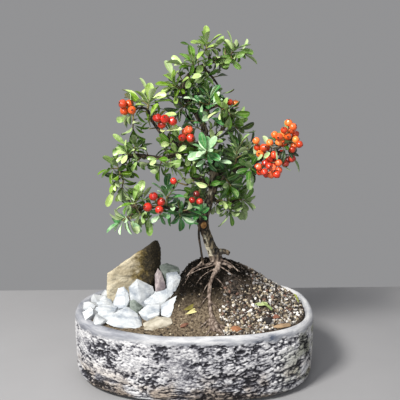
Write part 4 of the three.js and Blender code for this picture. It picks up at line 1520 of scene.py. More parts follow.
@dataclass
class Wood:
    """Trunk, limbs and roots, grown together."""

    sides: int = 14
    voxel: float = 0.78
    healed: tuple = ((12.5, -16, 207.5), 4.6)
    knots: tuple = (((20, -13, 240), 2.6), ((27, -11, 172), 3.0))
    knot_shape: Point = (1, 1, 1.25)
    # Towards the key light: thick wood that faces this way gets painted light.
    lit_side: Point = (-0.95, -0.3, 0.1)
    finish: Bark = Bark("firethorn bark")

    def skeleton(self) -> list[tuple[Rows, bool]]:
        """Bends and swells the lines of trunk, limbs and roots a little.

        Returns:
            Each centre line with its radius, and whether it is a root.
        """
        lines = [(TRUNK, False), *((limb, False) for limb in LIMBS.values()),
                 *((root, True) for root in [*ROOTS.values(), *FINE_ROOTS])]
        made = []
        for number, (stations, rooted) in enumerate(lines):
            path = smooth_path(stations, 1.6)
            draw = Draws(40 + number)
            phase = [6.28 * draw() for _ in range(4)]
            run = np.arange(len(path)) * 1.6
            path[:, 3] *= 1 + 0.07 * np.sin(run / 9 + phase[0]) + 0.05 * np.sin(
                run / 3.7 + phase[1])
            swell = (0.1 if rooted else 0.18) * path[:, 3]
            path[1:-1, 0] += (swell * np.sin(run / 8 + phase[2]))[1:-1]
            path[1:-1, 1] += (swell * np.sin(run / 7 + phase[3]))[1:-1]
            made.append((path, rooted))
        return made

    def nearest(self, lines: list[tuple[Rows, bool]], points: Rows) -> Rows:
        """Finds out which line each point of the bark grew from.

        Args:
            lines: The centre lines.
            points: Rows of x, y, z.

        Returns:
            For each point the line's radius there, and 1 for a root or 0.
        """
        stations = np.array([(*station, rooted) for path, rooted in lines for station in path])
        tree = kdtree.KDTree(len(stations))
        for number, station in enumerate(stations):
            tree.insert(Vector(station[:3]), number)
        tree.balance()
        return stations[[tree.find(Vector(p))[1] for p in points], 3:]

    def build(self) -> Thing:
        """Grows the lines together, and gives them bark and knots.

        Returns:
            The wood.
        """
        lines = self.skeleton()
        pile = Pile()
        for path, _ in lines:
            pile.add_rod(path, self.sides, 0)
        wood = pile.build("bark_and_roots")
        put_on(wood, "REMESH", mode="VOXEL", voxel_size=self.voxel * MM)
        put_on(wood, "SMOOTH", factor=0.5, iterations=2)
        points, normals = points_of(wood), normals_of(wood)
        girth, root = self.nearest(lines, points).T
        thick = smoothstep(1.6, 5.5, girth)
        cracks = cells(points + 1.5 * fbm(points, 9, 2)[:, None], (4.5, 4.5, 11), 1.0)
        ridge = smoothstep(0.0, 0.35, cracks)
        rough = fbm(points, (3.5, 3.5, 9), 4, 2.0)
        push = thick * (0.75 * (ridge - 0.7) + 0.5 * rough) + (1 - thick) * 0.14 * rough
        dark, scar = np.zeros(len(points)), np.zeros(len(points))
        for centre, radius in (self.healed, *self.knots):
            away = np.linalg.norm((points - centre) / self.knot_shape, axis=1) / radius
            ring = np.exp(-((away - 0.95) / 0.3) ** 2)
            if centre == self.healed[0]:
                push += 2.0 * np.sqrt(np.clip(1 - away**2, 0, 1)) - 0.9 * ring
                dark, scar = ring, smoothstep(1.0, 0.72, away)
            else:
                push += 1.1 * ring - 0.9 * (away < 0.8)
                dark = np.maximum(dark, smoothstep(1.0, 0.6, away))
        move_points(wood, points + normals * push[:, None])
        height = points[:, 2]
        low = smoothstep(162, 148, height)
        # Painted light: thick wood below the crown that faces the key light gets the pale patches.
        lit = smoothstep(0.3, 0.8, normals @ unit(self.lit_side))
        for name, values in {
                "crack": np.clip(0.25 + 0.5 * ridge + 0.4 * rough - 0.6 * dark, 0, 1),
                "girth": thick, "scar": scar,
                "root": np.maximum(root, low) * smoothstep(170, 150, height),
                "pale": lit * smoothstep(285, 240, height) * thick * (1 - low),
                "bare": np.exp(-((height - 153) / 9) ** 2) * thick}.items():
            paint(wood, name, values)
        wood.data.shade_smooth()
        wood.data.materials.append(self.finish.build())
        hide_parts("trunk")
        return wood


# ---- leaves


class Tone(Enum):
    """The four greens of the foliage: title, slot, and the old, ripe and young colours."""

    LIME = ("lime", "leaf_lime", "#1f3c05", "#668c10", "#b6c880")
    GREEN = ("green", "leaf_green", "#0b2003", "#4c780e", "#c6d998")
    DARK = ("dark", "leaf_dark", "#071a05", "#326214", "#b2cb90")
    TEAL = ("teal", "leaf_teal", "#0b2b14", "#3f7f42", "#c8e2bd")


LIME, GREEN, DARK, TEAL = Tone


@dataclass(frozen=True)
class Shoot:
    """A leafy spray: where its twig springs from and ends, its leaves and its forks.

    A fork is its share of the way along the twig, its own end and its leaves. Fresh is how
    far the shade of all its leaves is moved towards the young green.
    """

    tone: Tone
    root: Point
    tip: Point
    leaves: int
    forks: tuple = ()
    size: float = 22.0
    fresh: float = 0.0

    def twigs(self) -> list[tuple[Rows, Rows, int]]:
        """Lists the main twig and its forks.

        Returns:
            The start, the end and the leaves of each.
        """
        root, tip = np.array(self.root, float), np.array(self.tip, float)
        forks = [(root + (tip - root) * share, np.array(end, float), leaves)
                 for share, end, leaves in self.forks]
        return [(root, tip, self.leaves), *forks]


SHOOTS = {
    "apex": Shoot(LIME, (16, -6, 422), (16, -7, 433), 7, ((0.3, (25, -2, 426), 5),)),
    "top_right": Shoot(GREEN, (44, -8, 418), (49, -9, 424), 8,
        ((0.3, (59, -2, 419), 5), (0.2, (45, 2, 409), 4))),
    "top_left": Shoot(GREEN, (1, 1, 398), (-1, -5, 410), 8, ((0.4, (-12, 0, 405), 5),)),
    "upper_left": Shoot(LIME, (-12, 5, 373), (-26, -6, 382), 9, ((0.6, (-24, 5, 389), 5),)),
    "left_shoulder": Shoot(LIME, (-55, -31, 355), (-52, -28, 368), 8,
        ((0.4, (-62, -28, 366), 4),), 25),
    "far_left_under": Shoot(GREEN, (-66, -34, 357), (-77, -34, 346), 6,
        ((0.5, (-72, -38, 331), 7),)),
    "far_left": Shoot(GREEN, (-72, -30, 300), (-70, -35, 314), 10),
    "left_curl": Shoot(LIME, (-89, -26, 280), (-92, -30, 272), 8, ((0.3, (-94, -18, 288), 4),),
        22, -0.3),
    "left_low": Shoot(LIME, (-86, -25, 268), (-88, -28, 257), 10, (), 21, 0.1),
    "left_bottom": Shoot(TEAL, (-80, -39, 226), (-88, -41, 221), 9, ((0.2, (-78, -28, 216), 4),),
        22, 0.25),
    "left_inner": Shoot(GREEN, (-74, -33, 236), (-68, -37, 249), 5, ((0.2, (-62, -42, 225), 3),)),
    "teal": Shoot(TEAL, (-34, -30, 234), (-34, -28, 255), 9, ((0.5, (-24, -22, 257), 4),)),
    "low_middle": Shoot(TEAL, (-20, -25, 231), (-17, -31, 223), 7, ((0.3, (-7, -30, 231), 5),)),
    "middle_left": Shoot(GREEN, (-38, -27, 296), (-42, -32, 283), 7, ((0.2, (-28, -24, 286), 5),),
        22, 0.1),
    "middle": Shoot(GREEN, (-6, -14, 303), (-1, -24, 290), 8, (), 22, 0.15),
    "front": Shoot(TEAL, (17, -36, 302), (14, -46, 308), 10, (), 22, 0.08),
    "inner_left": Shoot(DARK, (-6, 6, 359), (-18, 0, 349), 8, ((0.4, (-21, 2, 363), 4),)),
    "inner_top": Shoot(TEAL, (17, -4, 351), (20, -10, 366), 8, ((0.4, (7, -11, 362), 4),)),
    "high_right": Shoot(GREEN, (32, 11, 374), (34, 12, 364), 8),
    "right_upper": Shoot(GREEN, (39, -12, 358), (44, -18, 347), 5, ((0.3, (34, -19, 353), 4),)),
    "right_shoulder": Shoot(GREEN, (44, 10, 333), (54, 15, 331), 9, ((0.4, (59, 6, 322), 6),)),
    "right_middle": Shoot(DARK, (52, -14, 277), (53, -20, 305), 12, ((0.6, (66, -14, 299), 6),)),
    "right_inner": Shoot(DARK, (39, -10, 268), (46, -22, 259), 9),
    "right_low": Shoot(GREEN, (62, 22, 233), (64, 25, 226), 9, ((0.2, (60, 27, 245), 6),),
        22, 0.25),
    "right_bottom": Shoot(GREEN, (44, 9, 231), (47, 5, 218), 8, ((0.3, (44, -8, 240), 5),),
        22, 0.2),
    "right_berries": Shoot(DARK, (72, -20, 287), (68, -30, 282), 6),
    "back_right": Shoot(GREEN, (60, 56, 283), (64, 66, 291), 8,
        ((0.1, (48, 60, 272), 6), (0.4, (76, 56, 296), 4))),
    "back_left": Shoot(GREEN, (-24, 56, 293), (-34, 64, 295), 10, ((0.1, (-18, 64, 305), 7),)),
    "back_high": Shoot(DARK, (8, 42, 366), (10, 54, 373), 9, ((0.1, (18, 48, 356), 6),)),
    "back_low": Shoot(GREEN, (12, 48, 229), (8, 60, 224), 9, ((0.1, (26, 56, 238), 6),)),
}


class Ripeness(Enum):
    """The four reds of the berries, the last of them crimson darkened as painted shade."""

    ORANGE = BerrySkin("orange berry skin", "#b2340f", "#e2591f", "#f28f40")
    SCARLET = BerrySkin("scarlet berry skin", "#9e1d10", "#db4020", "#f07848")
    CRIMSON = BerrySkin("crimson berry skin", "#93180f", "#cf301e", "#e85a3c")
    # Crimson darkened as painted shade, for the bunches that hang in shade behind the others and
    # under the crown.
    MAROON = BerrySkin("red berry skin with painted shade", "#6a1110", "#a8241c", "#cc4632")


ORANGE, SCARLET, CRIMSON, MAROON = Ripeness


@dataclass(frozen=True)
class Bunch:
    """Berries on one stalk: the point of the wood that it springs from, their centres, and
    further ones between them."""

    root: Point
    fruit: tuple
    ripeness: Ripeness
    size: float = 1.0
    more: tuple = ()


BUNCHES = {
    "far_left": Bunch((-73, -37, 355), (
        (-83, -42, 363), (-72, -46, 356), (-82, -36, 354), (-76, -33, 362)), ORANGE, 0.92),
    "upper_left": Bunch((-39, -30, 327), (
        (-43, -44, 347), (-34, -48, 346), (-25, -44, 343), (-38, -37, 338)), CRIMSON),
    "left_middle": Bunch((-16, -20, 310), (
        (-6, -36, 332), (-14, -41, 323), (-4, -39, 322), (-10, -29, 328)), SCARLET, 0.92),
    "top_right": Bunch((50, 14, 346), ((45, 8, 359), (53, 14, 357)), ORANGE, 0.85),
    "right_inner": Bunch((80, -22, 291), (
        (75, -29, 317), (77, -24, 308), (84, -33, 309), (92, -27, 314)), ORANGE, 0.86,
        ((89, -20, 307), (80, -30, 301))),
    "right_top": Bunch((112, -23, 318), (
        (114, -26, 338), (108, -32, 330), (118, -22, 328), (108, -21, 321), (102, -33, 315),
        (123, -29, 318), (122, -22, 309), (98, -22, 323)), ORANGE, 0.86,
        ((119, -32, 334), (101, -40, 323), (109, -24, 312), (127, -34, 313), (124, -19, 323),
         (113, -30, 322), (119, -30, 306))),
    "right_low": Bunch((88, -23, 297), (
        (78, -31, 285), (86, -34, 290), (85, -38, 280), (94, -30, 275), (95, -38, 285),
        (103, -31, 290), (92, -26, 294), (104, -27, 280)), SCARLET, 0.86,
        ((97, -32, 300), (100, -38, 277), (90, -41, 288), (89, -24, 274), (98, -24, 287),
         (81, -24, 277), (86, -26, 299))),
    "right_back": Bunch((114, -16, 297), (
        (117, -13, 290), (109, -11, 298), (101, -12, 290)), MAROON, 0.88,
        ((121, -20, 293), (113, -19, 286))),
    "lower_left": Bunch((-42, -32, 236), (
        (-49, -46, 253), (-40, -42, 245), (-56, -48, 240), (-42, -50, 237)), CRIMSON),
    "hook": Bunch((12, -16, 265), ((3, -28, 251), (-2, -24, 242), (7, -31, 242)), MAROON, 0.78),
    "single": Bunch((-9, -28, 262), ((-25, -35, 269),), CRIMSON, 0.84),
}


# Gaps in the crown, and the open air beside it: a point in each, and its radius.
GAPS = (
    (-50, -25, 324, 7), (-49, -25, 308, 7), (8, -10, 324, 5), (-48, -25, 273, 6.5),
    (-32, -25, 269, 5.5), (-13, -15, 253, 6), (30, -15, 438, 5.5), (44, -15, 442, 5),
    (64, -15, 434, 5.5), (71, -15, 412, 4), (53, -15, 405, 5.5), (41, -15, 388, 7.5),
    (44, -15, 374, 4), (-1, -15, 423, 6), (-30, -15, 409, 6), (-40, -15, 392, 5),
    (-71, -15, 377, 3), (-106, -15, 298, 7), (-117, -15, 286, 9), (-16, -15, 209, 5),
    (71, -15, 336, 4), (13, -15, 328, 5), (28, -15, 392, 4), (-31, -15, 360, 5), (24, -15, 270, 3),
    (23, -15, 252, 3.5), (21, -15, 236, 3.5),
)


# Single leaves that stand out at the crown's edge: root, tip, half width and shade.
LONE_LEAVES = {
    "apex": [((16, -8, 433), (15, -11, 451), 4.6, 0.62), ((12, -8, 431), (-3, -13, 433), 3.2, 0.5)],
    "top_left": [((-4, -10, 429), (-15, -14, 432), 2.6, 0.2)],
    "top_right": [((54, -7, 424), (72, -9, 420), 4.2, 0.5),
        ((47, -8, 423), (38, -11, 435), 4.2, 0.75)],
    "left_shoulder": [((-60, -30, 361), (-78, -33, 375), 5.2, 0.5),
        ((-54, -29, 366), (-51, -32, 386), 6.0, 0.62),
        ((-50, -28, 368), (-33, -33, 374), 4.6, 0.75)],
    "far_left": [((-80, -34, 312), (-95, -38, 327), 3.8, 0.6),
        ((-80, -34, 309), (-97, -38, 303), 3.8, 0.6)],
    "left_low": [((-97, -30, 259), (-107, -34, 237), 4.6, 0.6)],
    "left_inner": [((-56, -41, 229), (-54, -47, 203), 5.0, 0.7)],
    "front": [((17, -44, 307), (15, -47, 325), 5.0, 0.45)],
    "right_berries": [((109, -26, 306), (104, -29, 290), 2.6, 0.12),
        ((111, -27, 307), (108, -30, 289), 2.4, 0.2), ((111, -22, 307), (118, -25, 319), 2.6, 0.15),
        ((114, -24, 303), (128, -27, 298), 2.8, 0.1), ((114, -26, 306), (120, -29, 295), 2.6, 0.22),
        ((98, -36, 309), (100, -39, 295), 1.1, 0.95), ((83, -32, 294), (90, -37, 304), 3.0, 0.95),
        ((80, -24, 277), (66, -27, 273), 3.6, 0.25), ((81, -26, 291), (67, -29, 301), 3.4, 0.45)],
}


@dataclass(frozen=True)
class Blade:
    """Where one leaf goes. Its middle line bends down from its face, by bend of its length."""

    owner: str
    root: Rows
    direction: Rows
    face: Rows
    length: float
    half: float
    bend: float
    shade: float = 0.5

    def at(self, share: Rows, sideways: Rows, over: Rows) -> Rows:
        """Points of the leaf.

        Args:
            share: How far along it each lies, from 0 to 1.
            sideways: How far across, as a share of its half width.
            over: How far above its middle surface, in millimetres.

        Returns:
            A row for each point.
        """
        across = np.cross(self.direction, self.face)
        rise = over - self.bend * self.length * share**2
        return (self.root + np.outer(self.length * share, self.direction)
                + np.outer(rise, self.face) + np.outer(self.half * sideways, across))


@dataclass
class Layout:
    """Gives every leaf its place, clear of wood, berries and the other leaves."""

    room: Point = (152.0, 96.0, 450.0)
    tries: int = 24
    twig_radius: float = 1.15
    stalk_radius: float = 0.7
    berry_radius: float = 5.0
    sideways: Point = (0.3, 0.9, 0.31)
    before_fruit: Point = (0.0, -26.0, 7.0)
    # The way to the camera and the key light, along which the leaves before a leaf are counted for
    # its painted shade.
    outward: Point = (-0.25, -0.85, 0.5)
    lone_face: Point = (0.1, -0.8, 0.6)
    first_clear: Point = (2.6, 4.8, 3.8)
    later_clear: Point = (1.0, 2.0, 1.7)
    spur_clear: Point = (0.8, 1.7, 1.6)
    spurs_from: float = 238.0
    most: int = 5000
    blades: list[Blade] = field(default_factory=list)
    spurs: list[tuple[str, Rows, Rows]] = field(default_factory=list)

    def __post_init__(self) -> None:
        """Collects the rods that leaves have to miss: owner, ends and radius."""
        rods = [("trunk", a[:3], b[:3], max(a[3], b[3]))
                for stations in [TRUNK, *LIMBS.values()] for a, b in zip(stations, stations[1:])]
        for name, bunch in BUNCHES.items():
            for f in bunch.fruit:
                rods += [(f"berries_{name}", f, f, self.berry_radius),
                         (f"berries_{name}", bunch.root, f, self.stalk_radius)]
        rods += [(name, root, tip, self.twig_radius)
                 for name, shoot in SHOOTS.items() for root, tip, _ in shoot.twigs()]
        self.tests = np.zeros((self.most, 18, 3))
        self.know(rods)

    def know(self, rods: list[tuple]) -> None:
        """Takes the rods that leaves have to miss from now on.

        Args:
            rods: Owner, two ends and radius of each.
        """
        self.rods = rods
        self.owners = np.array([rod[0] for rod in rods])
        self.starts = np.array([rod[1] for rod in rods], float)
        self.runs = np.array([rod[2] for rod in rods], float) - self.starts
        self.radii = np.array([rod[3] for rod in rods])

    def tested(self, blade: Blade) -> Rows:
        """Returns the points of a leaf that have to be clear."""
        share = np.repeat(0.22 + 0.78 * np.arange(6) / 5, 3)
        wide = np.where(share < 0.4, 0.5, 0.85)
        return blade.at(share, wide * np.tile([-1, 0, 1], 6), np.zeros(18))

    def is_clear(self, points: Rows, owner: str, clear: Point) -> bool:
        """Tests a leaf against everything placed before it.

        Args:
            points: The leaf's points.
            owner: The spray that it grows on.
            clear: Least distances to wood, to leaves of other sprays and to leaves of its own.

        Returns:
            Whether it is clear.
        """
        wood, other, own = clear
        if (np.abs(points) > self.room).any():
            return False
        away = self.from_rods(points[7:8], slice(None))[0]
        near = np.flatnonzero(away < 45 + self.radii)
        away = self.from_rods(points, near)
        need = self.radii[near] + np.where(self.owners[near] == owner, 0.4, wood)
        if (away < need).any():
            return False
        count = len(self.blades)
        near = np.flatnonzero(np.abs(self.tests[:count, 7] - points[7]).max(axis=1) <= 40)
        placed = self.tests[near].reshape(-1, 3)
        least = [own if self.blades[i].owner == owner else other for i in near]
        apart = ((points**2).sum(axis=1)[:, None] + (placed**2).sum(axis=1) - 2 * points @ placed.T)
        return not (apart < np.repeat(least, 18) ** 2).any()

    def from_rods(self, points: Rows, which: Rows | slice) -> Rows:
        """Measures how far points are from the middle lines of rods.

        Args:
            points: Rows of x, y, z.
            which: The rods' numbers.

        Returns:
            A row for each point, with the distance to each rod.
        """
        runs = self.runs[which]
        offset = points[:, None] - self.starts[which]
        length = np.maximum((runs**2).sum(axis=1), 1e-9)
        share = np.clip((offset * runs).sum(axis=2) / length, 0, 1)
        return np.linalg.norm(offset - share[..., None] * runs, axis=2)

    def keep(self, blade: Blade, points: Rows) -> None:
        """Keeps a leaf, with the points that later leaves have to miss."""
        self.tests[len(self.blades)] = points
        self.blades.append(blade)

    def drawn(self, owner: str, seed: int, share: float, order: float, twig: tuple[Rows, Rows],
              size: float, attempt: int) -> Blade:
        """Draws one leaf, opening away from its twig, a golden angle round from the last.

        Args:
            owner: The spray's name.
            seed: The leaf's own number.
            share: How far along the leafy part of the twig it is.
            order: Its place among the twig's leaves.
            twig: The twig's start and end.
            size: The common length of a leaf.
            attempt: Later attempts wander further.

        Returns:
            The leaf.
        """
        draw = Draws(seed * 97 + attempt)
        wander = attempt / self.tries
        veer = 40 * (draw() - 0.5) + 320 * wander * (draw() - 0.5)
        spread = math.radians(
            72 - 46 * share**1.5 + 26 * (draw() - 0.5) + 60 * wander * (draw() - 0.5))
        turn = GOLDEN_ANGLE * order + math.radians(veer)
        start, end = twig
        along = unit(end - start)
        side = upright(self.sideways, along)
        direction = unit(
            along * math.cos(spread) + side * math.sin(spread) * math.cos(turn)
            + np.cross(along, side) * math.sin(spread) * math.sin(turn) + 0.22 * UP)
        face = upright(along + 0.5 * UP, direction)
        face = turned(face, direction, math.radians(60 * (draw() - 0.5)))
        length = size * (0.78 + 0.42 * draw()) * (1 - 0.2 * wander)
        half = length * (0.205 + 0.04 * draw())
        bend = 0.1 + 0.2 * draw()
        root = start + (end - start) * (0.35 + 0.65 * share)
        return Blade(owner, root, direction, face, length, half, bend,
                     0.12 + 0.62 * draw() + 0.2 * share)

    def settle(self, leaf: tuple, twig: tuple[Rows, Rows], size: float, clear: Point,
               attempts: int) -> bool:
        """Draws a leaf again and again until it is clear, and keeps it.

        Args:
            leaf: Its spray's name, its own number, how far along the leafy part of the twig it
                is, and its place among the twig's leaves.
            twig: The twig's start and end.
            size: The common length of a leaf.
            clear: As in is_clear.
            attempts: How often it is drawn at most.

        Returns:
            Whether a clear place was found.
        """
        for attempt in range(attempts):
            blade = self.drawn(*leaf, twig, size, attempt)
            points = self.tested(blade)
            if self.is_clear(points, leaf[0], clear):
                self.keep(blade, points)
                return True
        return False

    def grow(self, number: int, name: str, shoot: Shoot, later: bool) -> None:
        """Places a spray's leaves.

        Args:
            number: The spray's place in the list.
            name: Its name.
            shoot: The spray.
            later: Whether these are the smaller leaves that fill in between the first ones.
        """
        clear = self.later_clear if later else self.first_clear
        size = shoot.size * (0.8 if later else 1.0)
        for twig_number, (root, tip, leaves) in enumerate(shoot.twigs()):
            for i in range(leaves):
                share = i / (leaves - 1) if leaves > 1 else 1.0
                seed = number * 1000 + twig_number * 100 + i + 1 + (50 if later else 0)
                order = i + 0.37 if later else i
                self.settle((name, seed, share, order), (root, tip), size, clear, self.tries)

    def set_apart(self) -> None:
        """Adds the single leaves at the crown's edge."""
        for owner, leaves in LONE_LEAVES.items():
            for root, tip, half, shade in leaves:
                start, run = np.array(root, float), np.array(tip, float) - root
                face = upright(self.lone_face, unit(run))
                length = float(np.linalg.norm(run))
                blade = Blade(owner, start, unit(run), face, length, half, 0.08, shade)
                self.keep(blade, self.tested(blade))

    def keep_sight(self) -> None:
        """Keeps later leaves off the front of the fruit, and off the crown's clear gaps."""
        way = np.array(self.before_fruit)
        before = [("gap", f, f + way, 0.7 * self.berry_radius)
                  for bunch in BUNCHES.values() for f in np.array(bunch.fruit, float)]
        open_air = [("gap", np.array(spot) - 4 * way, np.array(spot) + 2 * way, radius)
                    for *spot, radius in GAPS]
        self.know(self.rods + before + open_air)

    def sprout(self) -> None:
        """Grows short leafy spurs all along the thin wood, as firethorn does."""
        draw = Draws(4021)
        lines = [[s for s in TRUNK if s[2] > self.spurs_from]]
        lines += [limb for name, limb in LIMBS.items() if name not in ("cut_stub", "thin_stem")]
        roots = {name: np.array(shoot.root, float) for name, shoot in SHOOTS.items()}
        number = 0
        for line in lines:
            path = smooth_path(line, 1.0)
            place = 4.0
            while place < len(path) - 1:
                row = path[int(place)]
                along = unit(path[int(place) + 1] - row)[:3]
                number += 1
                side = unit(np.cross(along, [0.3, 0.2, 0.93]))
                way = turned(side, along, GOLDEN_ANGLE * number)
                way = unit(way + 0.25 * UP + 0.35 * along)
                start = row[:3]
                end = start + way * (row[3] + 3 + 9 * draw())
                owner = min(roots, key=lambda name: float(np.linalg.norm(roots[name] - start)))
                leafy = (start + 0.5 * (end - start), end)
                count = 5 + int(3 * draw())
                settled = [
                    self.settle((owner, 90000 + number * 20 + i, i / (count - 1), i), leafy,
                                13 + 8 * draw(), self.spur_clear, 10) for i in range(count)]
                if any(settled):
                    self.spurs.append((owner, start, end))
                place += 3.2 + 3.2 * draw()

    def paint_inner_shade(self) -> None:
        """Paints shade on the leaves that others stand before, as the darker green of old
        leaves, and a little painted light on those that stand free.
        """
        middles = self.tests[:len(self.blades), 7]
        out = unit(self.outward)
        for i, blade in enumerate(self.blades):
            offset = middles - middles[i]
            along = offset @ out
            beside = np.linalg.norm(offset - np.outer(along, out), axis=1)
            before = ((along > 7) & (beside < 11)).sum()
            shade = blade.shade * (1.1 - 0.13 * min(before, 6)) + SHOOTS[blade.owner].fresh
            self.blades[i] = replace(blade, shade=min(max(shade, 0.02), 0.86))

    def fill(self) -> dict[str, list[Blade]]:
        """Places all the leaves, the solids' own first.

        Returns:
            The leaves of each spray.
        """
        for later in (False, True):
            for number, (name, shoot) in enumerate(SHOOTS.items()):
                self.grow(number, name, shoot, later)
            LOG.info("%d leaves placed", len(self.blades))
            if not later:
                self.set_apart()
                self.keep_sight()
        self.sprout()
        self.paint_inner_shade()
        LOG.info("%d leaves placed", len(self.blades))
        return {name: [b for b in self.blades if b.owner == name] for name in SHOOTS}


@dataclass
class LeafShape:
    """One leaf, modelled once: obovate and blunt, folded along its rib."""

    thickness: float = 0.26
    fold: float = 0.28
    groove: float = 0.14
    slim: float = 0.86
    stations: tuple = ((0, 0.0), (0.1, 0.07), (0.22, 0.36), (0.38, 0.72), (0.54, 0.95),
                       (0.7, 1.0), (0.83, 0.9), (0.92, 0.68), (0.98, 0.38), (1.0, 0.0))

    @cached_property
    def template(self) -> Template:
        """Flattens a ball to a leaf.

        Returns:
            The shape: x is the share along, y across and z over or under.
        """
        leaf, round_points = ball(segments=8, ring_count=len(self.stations) - 1)
        levels = np.unique(np.round(round_points[:, 2], 4))
        level = np.argmin(np.abs(round_points[:, 2:] - levels), axis=1)
        share, wide = np.array(self.stations)[level].T
        turn = np.arctan2(round_points[:, 1], round_points[:, 0])
        across, over = np.cos(turn), np.sin(turn)
        tip = wide == 0
        across[tip] = over[tip] = 0
        flat = np.stack([share, across * wide, over], axis=1)
        for polygon in leaf.data.polygons:
            middle = np.mean([flat[i, 2] for i in polygon.vertices])
            polygon.material_index = 0 if middle > 0 else 1
        return Template.of(leaf, flat, np.stack([0.5 + 0.5 * across, share], axis=1))

    def laid(self, blade: Blade, draw: Draws) -> Rows:
        """Lays the shape where a leaf goes.

        Args:
            blade: The leaf.
            draw: Gives its own curl.

        Returns:
            The leaf's points.
        """
        share, across, over = self.template.points.T * [[1.0], [self.slim], [1.0]]
        twist, curl, wave = 0.7 * (draw() - 0.5), self.fold + 0.25 * draw(), 0.5 * draw()
        fold = curl * blade.half * np.abs(across) ** 1.4
        ripple = wave * np.sin(9 * share + 6 * draw()) * np.abs(across) * np.sign(across)
        roll = twist * share**2 * across * blade.half
        rib = self.groove * (np.abs(across) < 0.05) * (share > 0.05)
        level = 0.5 * self.thickness * over + fold - 0.3 * fold.max() + ripple + roll - rib
        return blade.at(share, across, level)


@dataclass
class Spray:
    """The twigs and leaves of one spray."""

    name: str
    shoot: Shoot
    blades: list[Blade]
    spurs: list[tuple[Rows, Rows]]

    def build(self, shape: LeafShape, finishes: dict[Tone, list[Material]]) -> Thing:
        """Grows the twigs and spurs, and sets the leaves on them.

        Args:
            shape: The leaf's shape.
            finishes: The upper side, the underside and the twig of each tone.

        Returns:
            The spray.
        """
        pile = Pile()
        draw = Draws(len(self.name) * 131 + len(self.blades))
        for root, tip, _ in self.shoot.twigs():
            bow = 0.06 * np.linalg.norm(tip - root) * np.array([draw() - 0.5, draw() - 0.5, 0.3])
            shares = np.linspace(0, 1, 7)
            centre = root + np.outer(shares, tip - root) + np.outer(np.sin(math.pi * shares), bow)
            radius = 1.2 - 0.55 * shares
            pile.add_rod(np.column_stack([centre, radius]), 6, 2)
        for start, end in self.spurs:
            middle = 0.5 * (start + end)
            pile.add_rod(np.array([[*start, 0.9], [*middle, 0.8], [*end, 0.6]]), 5, 2)
        for blade in self.blades:
            pile.add(shape.laid(blade, draw), shape.template, 0, blade.shade)
        spray = pile.build(f"foliage_{self.name}")
        for material in finishes[self.shoot.tone]:
            spray.data.materials.append(material)
        crease(spray, 60)
        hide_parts(f"spray_{self.name}")
        return spray


# ---- berries


@dataclass
class BerryShape:
    """One berry, modelled once: a slightly flattened pome with a dark five-lobed calyx."""

    radius: float = 5.6
    segments: int = 10

    @cached_property
    def template(self) -> Template:
        """Presses a calyx into a ball.

        Returns:
            The shape, with its calyx at +Z and its stalk at -Z.
        """
        berry, points = ball(segments=self.segments, ring_count=9)
        height, wide = points[:, 2], np.hypot(points[:, 0], points[:, 1])
        levels = np.unique(np.round(height, 4))[::-1]
        level = np.argmin(np.abs(height[:, None] - levels), axis=1)
        foot = len(levels) - 1
        turn = np.arctan2(points[:, 1], points[:, 0])
        lobe = 0.5 + 0.5 * np.cos(5 * turn)
        rises = {0: 0.76, 1: 0.80, 2: 0.93 - 0.04 * lobe, foot: -0.86}
        reaches = {0: 0, 1: 0.12, 2: 0.19 + 0.15 * lobe, 3: 0.97 * wide, foot: 0}
        rise = np.select([level == k for k in rises], list(rises.values()), 0.93 * height)
        reach = np.select([level == k for k in reaches], list(reaches.values()), wide)
        points = np.stack([reach * np.cos(turn), reach * np.sin(turn), rise], axis=1)
        for polygon in berry.data.polygons:
            if max(level[i] for i in polygon.vertices) <= 2:
                polygon.material_index = 1
        uv = np.stack([turn / (2 * math.pi) + 0.5, 0.5 + 0.5 * height], axis=1)
        return Template.of(berry, points * self.radius, uv)


@dataclass
class BerryBunch:
    """The berries of one bunch on their stalks."""

    name: str
    bunch: Bunch
    stalk: float = 0.7

    def build(self, shape: BerryShape, finishes: list[Material]) -> Thing:
        """Hangs the berries on curved stalks.

        Args:
            shape: A berry's shape.
            finishes: Skin, calyx and stalk.

        Returns:
            The bunch.
        """
        pile = Pile()
        draw = Draws(17 * len(self.name) + len(self.bunch.fruit))
        root = np.array(self.bunch.root, float)
        fruit = np.array([*self.bunch.fruit, *self.bunch.more], float)
        hub = root + 0.5 * (fruit.mean(axis=0) - root)
        shares = np.linspace(0, 1, 7)
        pile.add_rod(np.column_stack([root + np.outer(shares, hub - root),
                                      self.stalk * (1.5 - 0.3 * shares)]), 6, 2)
        for centre in fruit:
            outward = unit(centre - hub)
            lean = np.array([draw() - 0.5, draw() - 0.9, draw() - 0.5])
            axis = unit(outward + 0.75 * lean)
            base = centre - axis * 0.8 * shape.radius * self.bunch.size
            sag = 0.12 * np.linalg.norm(base - hub) * np.array([draw() - 0.5, draw() - 0.5, -0.6])
            bend = hub + 0.5 * (base - hub) + sag
            curve = (np.outer((1 - shares) ** 2, hub) + np.outer(2 * shares * (1 - shares), bend)
                     + np.outer(shares**2, base))
            pile.add_rod(np.column_stack([curve, self.stalk * (1 - 0.15 * shares)]), 6, 2)
            side = unit(np.cross(axis, [0.31, 0.2, 0.93]))
            frame_of = np.stack([side, np.cross(axis, side), axis])
            grown = self.bunch.size * (0.92 + 0.14 * draw())
            pile.add((shape.template.points * grown) @ frame_of + centre, shape.template, 0, draw())
        made = pile.build(f"fruit_{self.name}")
        for material in finishes:
            made.data.materials.append(material)
        crease(made, 48)
        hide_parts(f"berries_{self.name}")
        return made


# ---- fallen leaves


